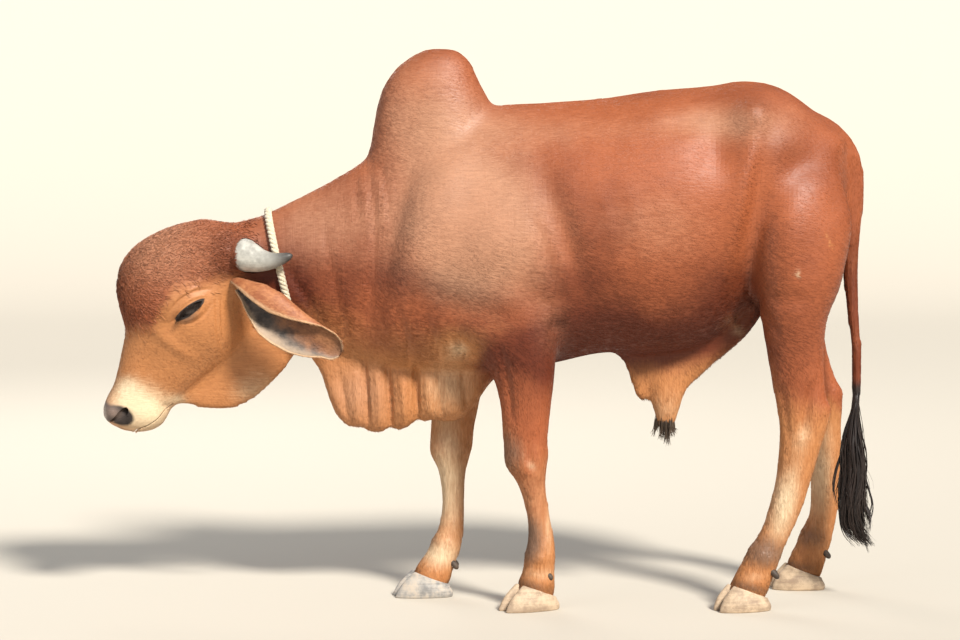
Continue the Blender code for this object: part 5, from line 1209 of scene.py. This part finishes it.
def lashPaths(side):  # dark lashes along the upper lid, shorter ones along the lower
    rim = slitPlug(side, 0.0008)[0]
    count = len(rim)
    paths = []
    for lid, (number, length) in enumerate(zip(hair["lashes"], hair["lashReach"])):
        for _ in range(number):
            turn = math.pi * (0.06 + 0.88 * dice.random()) * (-1 if lid else 1)
            k = turn / math.tau * count % count
            spot = onEye(side, rim[int(k)].lerp(rim[(int(k) + 1) % count], k % 1), 0.001)
            reach = length * (0.6 + 0.6 * dice.random())
            lean = (dice.random() - 0.6) * 0.010
            out = Vector((-0.15, side, 0))
            line = [spot + out * reach * t * 0.75
                    + Vector((lean * t - 0.002 * t, 0, -reach * (0.2 * t + 0.75 * t * t)))
                    for t in (0, 0.2, 0.4, 0.6, 0.8, 1.0)]
            paths.append(([tuple(p) for p in line], Vector((0.2, side * 0.2, 1)), 0.00055))
    return paths


switchPiece = makeLocks("tailSwitch", switchPaths())
sheathPiece = makeLocks("sheathTuft", sheathPaths())
lashPieces = [makeLocks("lashes." + name, lashPaths(side), 4) for name, side in sides.items()]
print("switch and tuft", len(switchPiece.data.polygons))


def lie(points, normals):  # which way the hair lies, along the skin
    ways = np.tile([1.0, 0.0, -0.30], (len(points), 1))
    legs = (np.clip((0.70 - points[:, 2]) / 0.16, 0, 1) * (points[:, 0] > -0.5))[:, None]
    ways = ways * (1 - legs) + np.array([0.10, 0.0, -1.0]) * legs
    tail = ((points[:, 0] > 0.91) & (points[:, 2] < 1.16))[:, None]
    ways = np.where(tail, [0.0, 0.0, -1.0], ways)
    whorl = points - np.array([-0.93, 0.0, 0.83])  # on the face it fans out from the forehead
    face = np.clip((headSide(points.T) - 0.05) / 0.06, 0, 1)[:, None] * (points[:, 0] < -0.55)[:, None]
    return across(ways * (1 - face) + unit(whorl) * face, normals)


def surfaceOf(obj):
    mesh = obj.data
    mesh.calc_loop_triangles()
    tris = read(mesh.loop_triangles, "vertices", 3, np.int32)
    loops = read(mesh.loop_triangles, "loops", 3, np.int32)
    corners = places(mesh)[tris]
    cross = np.cross(corners[:, 1] - corners[:, 0], corners[:, 2] - corners[:, 0])
    return {"corners": corners, "centre": corners.mean(1), "normals": places(mesh, "normal")[tris],
            "uv": read(mesh.uv_layers["OFBake"].data, "uv", 2)[loops].astype(float),
            "area": np.linalg.norm(cross, axis=1) / 2}


def scattered(surface, count, weight):  # places on the surface, by area times weight
    chance = surface["area"] * np.clip(weight(surface["centre"]), 0, None)
    picked = dice.choice(len(chance), count, p=chance / chance.sum())
    a, b = dice.random(count), dice.random(count)
    over = a + b > 1
    a[over], b[over] = 1 - a[over], 1 - b[over]
    mix = np.stack([1 - a - b, a, b], 1)[:, :, None]
    roots, normals, spots = ((surface[what][picked] * mix).sum(1) for what in ("corners", "normals", "uv"))
    return roots, unit(normals), spots


coat = {
    # count, length, width, lift, curl, rings, sway, where
    "pieces": {
        "coatFront": (48500, 0.011, 0.0018, 0.040, 0.25, 1, 0.0, "front"),
        "coatMiddle": (48500, 0.012, 0.0018, 0.035, 0.25, 1, 0.0, "middle"),
        "coatRear": (48500, 0.012, 0.0018, 0.035, 0.25, 1, 0.0, "rear"),
        "coatLegs": (48500, 0.009, 0.0013, 0.06, 0.25, 1, 0.0, "legs"),
        "coatFace": (48500, 0.0055, 0.0010, 0.06, 0.30, 1, 0.0, "face"),
        "coatFeet": (9000, 0.014, 0.0012, 0.12, 0.40, 1, 0.0, "feet"),
        "coatPoll": (9500, 0.018, 0.0025, 0.16, 1.25, 3, 0.10, "poll"),
    },
    "thirds": (-0.02, 0.48),  # the x where the front, middle and rear of the trunk meet
    # (x, z) of the line above which the poll's long hair grows
    "hairline": [(-1, 0.72), (-0.86, 0.735), (-0.83, 0.79), (-0.8, 0.84), (-0.74, 0.85), (-0.62, 0.865)],
    "fringe": 900,  # hairs round the root of each horn
    "ear": 9000,
}


def whereTo(kind):
    def weight(centres):
        x, y, z = centres.T
        onHead = headSide(centres.T) > 0
        legs = (z < 0.62) & ~onHead & (np.abs(y) > 0.045)
        if kind == "face":
            clear = np.ones(len(centres))
            nearSlit = aroundSlit(centres, 0.004, 0.004)[0] < 1.05
            clear[nearSlit & (np.abs(np.abs(y) - head["eye"][1]) < 0.06)] = 0
            clear[(x < -0.955) & (z < 0.52)] = 0  # the bare nose
            clear[(z < 0.52) & (np.abs(y) < 0.066) & (x < -0.93) & (z > 0.46)] = 0
            return onHead * clear * (1.0 + 0.5 * (z < 0.6))
        if kind == "poll":
            above = risen((z - np.interp(x, *zip(*coat["hairline"]))) / 0.012)
            return onHead * above * risen(-(x + 0.625) / 0.012)
        if kind == "feet":  # longer hair over the tops of the hoofs and behind the fetlocks
            return legs * (z > 0.035) * (z < 0.20) * (0.10 + (z < 0.085) + 2.0 * (z < 0.072))
        if kind == "legs":
            return legs * (z > 0.035)
        third = ("front", "middle", "rear").index(kind)
        return ~onHead * ~legs * (np.digitize(x, coat["thirds"], right=True) == third)
    return weight


def markTufts(obj, roots):  # one colour along each tuft, from its root
    for name, values in markings(roots).items():
        setMask(obj.data, name, np.repeat(values, len(obj.data.vertices) // len(roots)))


def coatPatch(name, count, length, width, lift, curl, rings, sway, where):
    roots, normals, spots = scattered(surface, count, whereTo(where))
    ways = lie(roots, normals)
    swing = (dice.random(count) - 0.5)[:, None] * (0.9 if where == "poll" else 0.35)
    ways = unit(ways + np.cross(normals, ways) * swing)
    lengths = length * (0.7 + 0.6 * dice.random(count))
    curls = curl * (dice.random(count) * 2 - 1)
    widths = width * (0.8 + 0.4 * dice.random(count))
    obj = strands(name, roots, normals, ways, lengths, widths, lift, curls, rings, sway, spots)
    markTufts(obj, roots)
    return obj


def hornFringe(horn):  # hair that grows over the root of the horn, from the line where it leaves the head
    corners = horns["corners"]
    rings = places(horn.data).reshape(-1, corners, 3)
    leaves = []
    for a in range(corners):
        for k in range(50):
            spot = Vector(rings[k, a])
            place, normal, index, _ = skinTree.find_nearest(spot)
            if (spot - place).dot(normal) > 0.001:
                break
        leaves.append((k, index))
    count = coat["fringe"]
    at = dice.integers(0, corners, count)
    ring = np.array([leaves[a][0] for a in at])
    mix = dice.random(count)[:, None]
    roots = rings[ring, at] * (1 - mix) + rings[ring, (at + 1) % corners] * mix
    normals = unit(roots - rings.mean(1)[ring])
    ways = unit(rings[ring + 4, at] - rings[ring, at])
    roots = roots - ways * 0.007 * dice.random((count, 1)) - normals * 0.0005
    ways += np.cross(normals, ways) * (dice.random((count, 1)) - 0.5) * 0.7 + normals * 0.08
    lengths = 0.013 + 0.013 * dice.random(count)
    curls = 0.8 * (dice.random(count) * 2 - 1)
    spots = surface["uv"][[leaves[a][1] for a in at]].mean(1)
    obj = strands("hornFringe." + horn.name[5:], roots, normals, unit(ways), lengths, np.full(count, 0.0024),
                  0.12, curls, 3, 0.06, spots)
    markTufts(obj, roots)
    return obj


def earCoat(name, side):
    ear, count = earPieces[name].data, coat["ear"]
    roots, normals, spots = scattered(surfaceOf(earPieces[name]), count, lambda c: np.ones(len(c)))
    ways = np.tile([0.80, 0.10 * side, -0.55], (count, 1)) + (dice.random((count, 3)) - 0.5) * 0.5
    lengths = 0.007 * (0.6 + dice.random(count))
    curls = 0.3 * (dice.random(count) * 2 - 1)
    obj = strands("coatEar." + name, roots, normals, across(ways, normals), lengths, np.full(count, 0.0010),
                  0.12, curls, 1, 0.0, spots)
    tree = KDTree(len(ear.vertices))
    for k, vert in enumerate(ear.vertices):
        tree.insert(vert.co, k)
    tree.balance()
    near = [tree.find(root)[1] for root in roots.tolist()]
    for mask in ("inner", "rim", "along", "fold"):
        values = read(ear.attributes[mask].data, "value", 1)[near]
        setMask(obj.data, mask, np.repeat(values, len(obj.data.vertices) // count))
    return obj


surface = surfaceOf(skin)
coatPieces = [coatPatch(name, *row) for name, row in coat["pieces"].items()]
skinTree = surfaceTree(skin)
coatPieces += [hornFringe(horn) for horn in hornPieces]
earHair = [earCoat(name, side) for name, side in sides.items()]
print("coat", sum(len(p.data.polygons) for p in coatPieces))


class Num:  # a number inside a shader, with ordinary arithmetic
    def __init__(self, paint, socket):
        self.paint, self.socket = paint, socket

    def math(self, kind, other):
        made = self.paint.node("Math", {"operation": kind})
        for slot, value in zip(made.inputs, (self, other)):
            self.paint.put(slot, value)
        return Num(self.paint, made.outputs[0])

    def __add__(self, other):
        return self.math("ADD", other)

    __radd__ = __add__

    def __mul__(self, other):
        return self.math("MULTIPLY", other)

    __rmul__ = __mul__

    def __sub__(self, other):
        return self.math("SUBTRACT", other)

    def __rsub__(self, other):
        return (self * -1) + other

    def step(self, low, high):  # 0 below low, 1 above high, smooth between
        made = self.paint.node("MapRange", {"interpolation_type": "SMOOTHSTEP"},
                               Value=self, From_Min=low, From_Max=high)
        return Num(self.paint, made.outputs[0])


class Paint:
    def __init__(self, name, **constants):
        self.material = bpy.data.materials.new(name)
        self.material.use_nodes = True
        self.tree = self.material.node_tree
        self.shader = self.tree.nodes["Principled BSDF"]
        self.where = self.node("TexCoord").outputs["Object"]
        self.finish(**constants)

    def put(self, socket, value):
        value = getattr(value, "socket", value)
        if isinstance(value, bpy.types.NodeSocket):
            self.tree.links.new(value, socket)
        elif isinstance(value, tuple) and len(socket.default_value) == 4:
            socket.default_value = (*value, 1)
        else:
            socket.default_value = value

    def node(self, kind, settings={}, **values):
        made = self.tree.nodes.new("ShaderNode" + kind)
        for key, value in settings.items():
            setattr(made, key, value)
        for key, value in values.items():
            self.put(made.inputs[key.replace("_", " ")], value)
        return made

    def attribute(self, name):
        return Num(self, self.node("Attribute", {"attribute_name": name}).outputs["Fac"])

    def placed(self, scale, turn=(0, 0, 0)):
        return self.node("Mapping", Vector=self.where, Scale=scale, Rotation=turn).outputs[0]

    def noise(self, scale, detail=2.0, rough=0.5, distort=0.0, turn=(0, 0, 0)):
        scale = scale if isinstance(scale, tuple) else (scale,) * 3  # one number, or one for each axis
        made = self.node("TexNoise", Vector=self.placed(scale, turn), Scale=1.0, Detail=detail,
                         Roughness=rough, Distortion=distort)
        return Num(self, made.outputs["Fac"])

    def cells(self, scale, **settings):
        made = self.node("TexVoronoi", settings, Vector=self.placed((scale,) * 3), Scale=1.0)
        return Num(self, made.outputs["Distance"])

    def mix(self, share, first, second, kind="MIX"):
        made = self.node("Mix", {"data_type": "RGBA", "blend_type": kind})
        for slot, value in ((0, share), (6, first), (7, second)):
            self.put(made.inputs[slot], value)
        return made.outputs[2]

    def choose(self, share, first, second):  # between two numbers
        made = self.node("Mix", {"data_type": "FLOAT"})
        for slot, value in ((0, share), (2, first), (3, second)):
            self.put(made.inputs[slot], value)
        return Num(self, made.outputs[0])

    def bump(self, height, distance, strength=1.0, under=None):
        made = self.node("Bump", Height=height, Distance=distance, Strength=strength)
        if under is not None:
            self.put(made.inputs["Normal"], under)
        return made.outputs["Normal"]

    def finish(self, **values):
        for key, value in values.items():
            self.put(self.shader.inputs[key.replace("_", " ")], value)
        return self.material


def cover(pieces, material):
    for piece in pieces:
        piece.data.materials.clear()
        piece.data.polygons.foreach_set("material_index", [0] * len(piece.data.polygons))
        piece.data.materials.append(material)


tones = {
    "red": (0.395, 0.106, 0.035),
    # dark red: for random darker patches, and for the painted shade under the belly, on the neck, in the
    # flank and at the elbow
    "deep": (0.140, 0.022, 0.004),
    # lighter rose-brown, partly the coat's own and partly painted sheen
    "dun": (0.550, 0.295, 0.175),
    "tan": (0.530, 0.215, 0.072),
    "cream": (0.830, 0.650, 0.420),
    "grey": (0.175, 0.105, 0.070),
    "dark": (0.034, 0.024, 0.020),
    # the nose pad's dark grey-brown, made lighter with painted highlight of the wet pad
    "nose": (0.370, 0.265, 0.215),
    "shade": (0.50, 0.47, 0.45),  # what the darkest streaks multiply by
}


def coatPaint(name, tufted):
    p = Paint(name, Sheen_Weight=0.02, Sheen_Roughness=0.5, Specular_IOR_Level=0.40)
    broad = p.noise(3.2, 3.0)
    patch = p.noise(14, 3.0, 0.6)
    # the streaks run along the trunk, and down where the hair hangs
    trunk, hanging = p.noise((26, 240, 240), 2.0, 0.6), p.noise((240, 240, 26), 2.0, 0.6)
    streak = p.choose(p.attribute("down"), trunk, hanging)
    fray = (streak - 0.5) * 0.5 + (patch - 0.5) * 0.45

    def mark(name, amount, low, high):  # the mask with a frayed edge
        return (p.attribute(name) + fray * amount).step(low, high)

    dark = mark("dark", 0.5, 0.30, 0.72)
    # darker red: random broad patches, plus the deep mask's painted shade under the belly, on the neck under
    # the ear, in the flank and at the elbow
    deep = (broad.step(0.36, 0.64) * 0.45 + p.attribute("deep") + fray * 0.25).step(0.0, 1.0)
    colour = p.mix(deep, tones["red"], tones["deep"])
    colour = p.mix(mark("tan", 0.55, 0.16, 0.86), colour, tones["tan"])
    # lighter rose-brown: coat colour, with painted sheen on the shoulder, neck, hump and back
    colour = p.mix(mark("dun", 0.5, 0.10, 0.95) * 0.75, colour, tones["dun"])
    colour = p.mix(mark("cream", 0.6, 0.06, 0.98), colour, tones["cream"])
    colour = p.mix(mark("grey", 0.9, 0.25, 0.95) * 0.85, colour, tones["grey"])
    colour = p.mix(dark, colour, tones["dark"])
    # the nose pad: its own dark grey-brown lightened with painted highlight of its wet shine
    colour = p.mix(p.attribute("nose") * 0.8, colour, tones["nose"])
    shade = (streak - 0.5) * 0.55 + (patch - 0.5) * 0.22 + 0.5
    if tufted:
        shade = shade + (p.attribute("tint") - 0.5) * 0.34
    colour = p.mix(0.75, colour, p.mix(shade.step(0.1, 0.9), tones["shade"], (1.0, 1.0, 1.0)), "MULTIPLY")
    rough = (patch - 0.5) * 0.25 + dark * (-0.04 if tufted else 0.30)
    rough = rough + p.attribute("wrinkle") * 0.14 + (0.53 if tufted else 0.50)
    ripples = p.noise((58, 14, 9), 3.0, 0.6, 0.6, (0, 0.25, 0)) * p.attribute("wrinkle")
    if tufted:
        return p.finish(Base_Color=colour, Roughness=rough, Normal=p.bump(ripples, 0.0060, 0.8))
    pebble = p.cells(330, feature="SMOOTH_F1") * p.attribute("nose")
    normal = p.bump(streak, 0.0013, 0.6, p.bump(ripples, 0.0045, 0.6))
    normal = p.bump(pebble, 0.0016, 0.8, normal)
    rough = p.choose(p.attribute("nose"), rough, 0.20)  # the moist nose
    return p.finish(Base_Color=colour, Roughness=rough, Normal=normal)


def earPaint():
    p = Paint("ear", Sheen_Weight=0.04, Specular_IOR_Level=0.45)
    inner, rim, along, fold = (p.attribute(name) for name in ("inner", "rim", "along", "fold"))
    patch = p.noise(30, 3.0, 0.6)
    streak = p.noise((60, 200, 200))
    fray = (patch - 0.5) * 0.3
    outer = p.mix((patch + streak - 0.5).step(0.2, 0.9), (0.290, 0.090, 0.032), (0.460, 0.185, 0.072))
    # painted shade: the hollow is dark grey deep in its cavity, toward the lower part and the root, and brown
    # further out
    grey = p.mix(patch.step(0.3, 0.7), (0.045, 0.034, 0.028), (0.150, 0.110, 0.085))
    brown = p.mix(patch.step(0.3, 0.7), (0.150, 0.052, 0.018), (0.280, 0.115, 0.045))
    hollow = p.mix((fold + along * 0.35 + fray).step(0.42, 0.66), grey, brown)
    lining = (0.24 - fold + fray * 0.6).step(0.0, 0.16) * (0.9 - along * 0.4)
    hollow = p.mix(lining, hollow, (0.46, 0.33, 0.22))
    colour = p.mix((inner + fray).step(0.3, 0.7), outer, hollow)
    colour = p.mix((rim * 1.2 + fray * 1.6).step(0.45, 1.05) * 0.7, colour, (0.60, 0.38, 0.21))
    colour = p.mix((along + fray * 0.6).step(0.90, 1.02) * 0.4, colour, (0.12, 0.07, 0.05))
    normal = p.bump(streak + patch, 0.0014, 0.6)
    return p.finish(Base_Color=colour, Roughness=0.5 + patch * 0.15, Normal=normal)


def hornPaint():
    p = Paint("horn", Specular_IOR_Level=0.5)
    tip = p.attribute("along")
    grain = p.noise((30, 30, 300), 3.0, 0.6, 0.4)
    cloud = p.noise(40, 3.0, 0.6)
    colour = p.mix(cloud.step(0.3, 0.7), (0.30, 0.285, 0.25), (0.52, 0.50, 0.44))
    colour = p.mix((tip + (cloud - 0.5) * 0.35).step(0.5, 0.95), colour, (0.050, 0.044, 0.040))
    colour = p.mix((1 - tip + (cloud - 0.5) * 0.2).step(0.84, 1.0) * 0.75, colour, (0.20, 0.13, 0.08))
    return p.finish(Base_Color=colour, Roughness=0.36 + grain * 0.2, Normal=p.bump(grain, 0.0012, 0.6))


def hoofPaint(name, low, high, dust):
    p = Paint(name, Specular_IOR_Level=0.5)
    rings = p.noise((14, 14, 210), 2.0, 0.5, 0.3)
    cloud = p.noise(38, 3.0, 0.6)
    grit = p.noise(420)
    colour = p.mix((cloud * 0.7 + rings * 0.3).step(0.32, 0.66), low, high)
    colour = p.mix((cloud + (grit - 0.5) * 0.5).step(0.42, 0.75) * dust, colour, (0.56, 0.42, 0.28))
    normal = p.bump(grit, 0.0006, 0.5, p.bump(rings, 0.0016, 0.5))
    return p.finish(Base_Color=colour, Roughness=0.50 + cloud * 0.25, Normal=normal)


def cloudyPaint(name, size, dark, light, **constants):
    p = Paint(name, **constants)
    return p.finish(Base_Color=p.mix(p.noise(size), dark, light))


def hairPaint(name, dark, light):
    p = Paint(name, Specular_IOR_Level=0.35)
    thread = p.noise((300, 300, 30))
    colour = p.mix(p.attribute("tint") * 0.6 + thread * 0.4, dark, light)
    return p.finish(Base_Color=colour, Roughness=0.34 + thread * 0.2, Normal=p.bump(thread, 0.0008, 0.5))


def ropePaint():
    p = Paint("rope", Sheen_Weight=0.3, Specular_IOR_Level=0.3)
    fibre = p.noise(420, 2.0, 0.6)
    colour = p.mix(fibre.step(0.25, 0.75), (0.46, 0.38, 0.25), (0.78, 0.71, 0.54))
    colour = p.mix(p.noise(22, 3.0, 0.6).step(0.5, 0.8) * 0.6, colour, (0.30, 0.21, 0.12))
    return p.finish(Base_Color=colour, Roughness=0.8 + fibre * 0.1, Normal=p.bump(fibre, 0.0010, 0.7))


cover([skin], coatPaint("coatSkin", False))
cover(coatPieces, coatPaint("coatHair", True))
cover([*earPieces.values(), *earHair], earPaint())
cover(hornPieces, hornPaint())
for piece in hornPieces:
    setMask(piece.data, "along", np.repeat(np.linspace(0, 1, horns["rings"]), horns["corners"]))
greyHoof = hoofPaint("hoofGrey", (0.19, 0.18, 0.17), (0.43, 0.40, 0.36), 0.45)
dustyHoof = hoofPaint("hoofDusty", (0.30, 0.21, 0.14), (0.52, 0.385, 0.255), 0.8)
darkHoof = hoofPaint("dewclaw", (0.025, 0.017, 0.012), (0.070, 0.045, 0.030), 0.05)
for piece, node in clawPieces:
    cover([piece], darkHoof if node.startswith("dew") else greyHoof if "fore_right" in node else dustyHoof)
cover(eyePieces, cloudyPaint("eye", 60, (0.030, 0.021, 0.018), (0.095, 0.070, 0.060),
                             Roughness=0.12, Specular_IOR_Level=0.40))
cover(lidPieces + lashPieces, cloudyPaint("lidRim", 90, (0.010, 0.007, 0.006), (0.034, 0.020, 0.014),
                                          Roughness=0.7, Specular_IOR_Level=0.15))
cover([switchPiece], hairPaint("switchHair", (0.004, 0.003, 0.003), (0.030, 0.018, 0.014)))
cover([sheathPiece], hairPaint("tuftHair", (0.028, 0.018, 0.012), (0.10, 0.066, 0.042)))
cover([ropePiece], ropePaint())
print("materials")

flesh = ["head", "neck", "hump", "dewlap", "forequarters", "barrel", "hindquarters", "sheath", "scrotum",
         "foreleg_left", "foreleg_right", "hindleg_left", "hindleg_right", "tail_upper", "tail_lower"]
taken = [(skin, flesh, "coat"), (ropePiece, ["collar_rope"], "rope"),
         (switchPiece, ["tail_switch"], "black_hair"), (sheathPiece, [], "black_hair")]
taken += [(piece, [], "coat") for piece in coatPieces + earHair]
taken += [(piece, [node], "hoof") for piece, node in clawPieces]
for k, name in enumerate(sides):
    taken += [(earPieces[name], ["ear_" + name], "pale_coat"), (eyePieces[k], ["eye_" + name], "eye"),
              (hornPieces[k], ["horn_" + name], "horn"), (lidPieces[k], [], "eye"),
              (lashPieces[k], [], "black_hair")]
for piece, nodes, finish in taken:
    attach(piece, "root")
    if nodes:
        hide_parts(*nodes)

studio = {
    "camera": (-0.024, -7.6, 1.35),
    "tilt": 85.31,
    "lens": 111.15,
    "sweep": 0.09,
    # kind, place, aim, softness or size, power and colour of each light
    "lights": {
        "fill": ("AREA", (-4.2, -4.0, 2.2), (-0.2, 0.0, 0.8), 3.2, 45, (0.92, 0.96, 1.0)),
        "back": ("AREA", (-1.5, 4.2, 3.6), (0.0, 0.0, 0.9), 3.0, 80, (1.0, 0.98, 0.95)),
        "sun": ("SUN", (2.6, -4.2, 5.0), (0.0, 0.0, 0.75), 0.20, 5.7, (1.0, 0.965, 0.90)),
    },
    "sky": (0.82, 0.89, 1.0, 1),
    "skyStrength": 0.42,
    "ground": (0.56, 0.51, 0.43),
}
scene = bpy.context.scene
bm = bmesh.new()
bmesh.ops.create_grid(bm, x_segments=1, y_segments=160, size=40)
bmesh.ops.delete(bm, geom=[v for v in bm.verts if v.co.y > 15.1], context="VERTS")
for vert in bm.verts:
    vert.co.z = studio["sweep"] * max(0, vert.co.y - 9) ** 2  # the floor sweeps up far behind the bull
floor = newPiece("studioFloor", bm)
cover([floor], Paint("studioFloor", Roughness=0.9, Base_Color=studio["ground"]).material)

for name, (kind, place, aim, size, power, colour) in studio["lights"].items():
    light = bpy.data.lights.new(name, kind)
    light.energy, light.color = power, colour
    if kind == "SUN":
        light.angle = size
    else:
        light.shape, light.size = "DISK", size
    lamp = bpy.data.objects.new(name, light)
    lamp.location = place
    lamp.rotation_euler = (Vector(aim) - Vector(place)).to_track_quat("-Z", "Y").to_euler()
    scene.collection.objects.link(lamp)
scene.world = bpy.data.worlds.new("studio")
scene.world.use_nodes = True
sky = scene.world.node_tree.nodes["Background"].inputs
sky["Color"].default_value = studio["sky"]
sky["Strength"].default_value = studio["skyStrength"]
scene.view_settings.view_transform = "Standard"
camera = bpy.data.objects.new("camera", bpy.data.cameras.new("camera"))
camera.location = studio["camera"]
camera.rotation_euler = (math.radians(studio["tilt"]), 0, 0)
camera.data.lens, camera.data.sensor_width = studio["lens"], 36
scene.collection.objects.link(camera)
scene.camera = camera
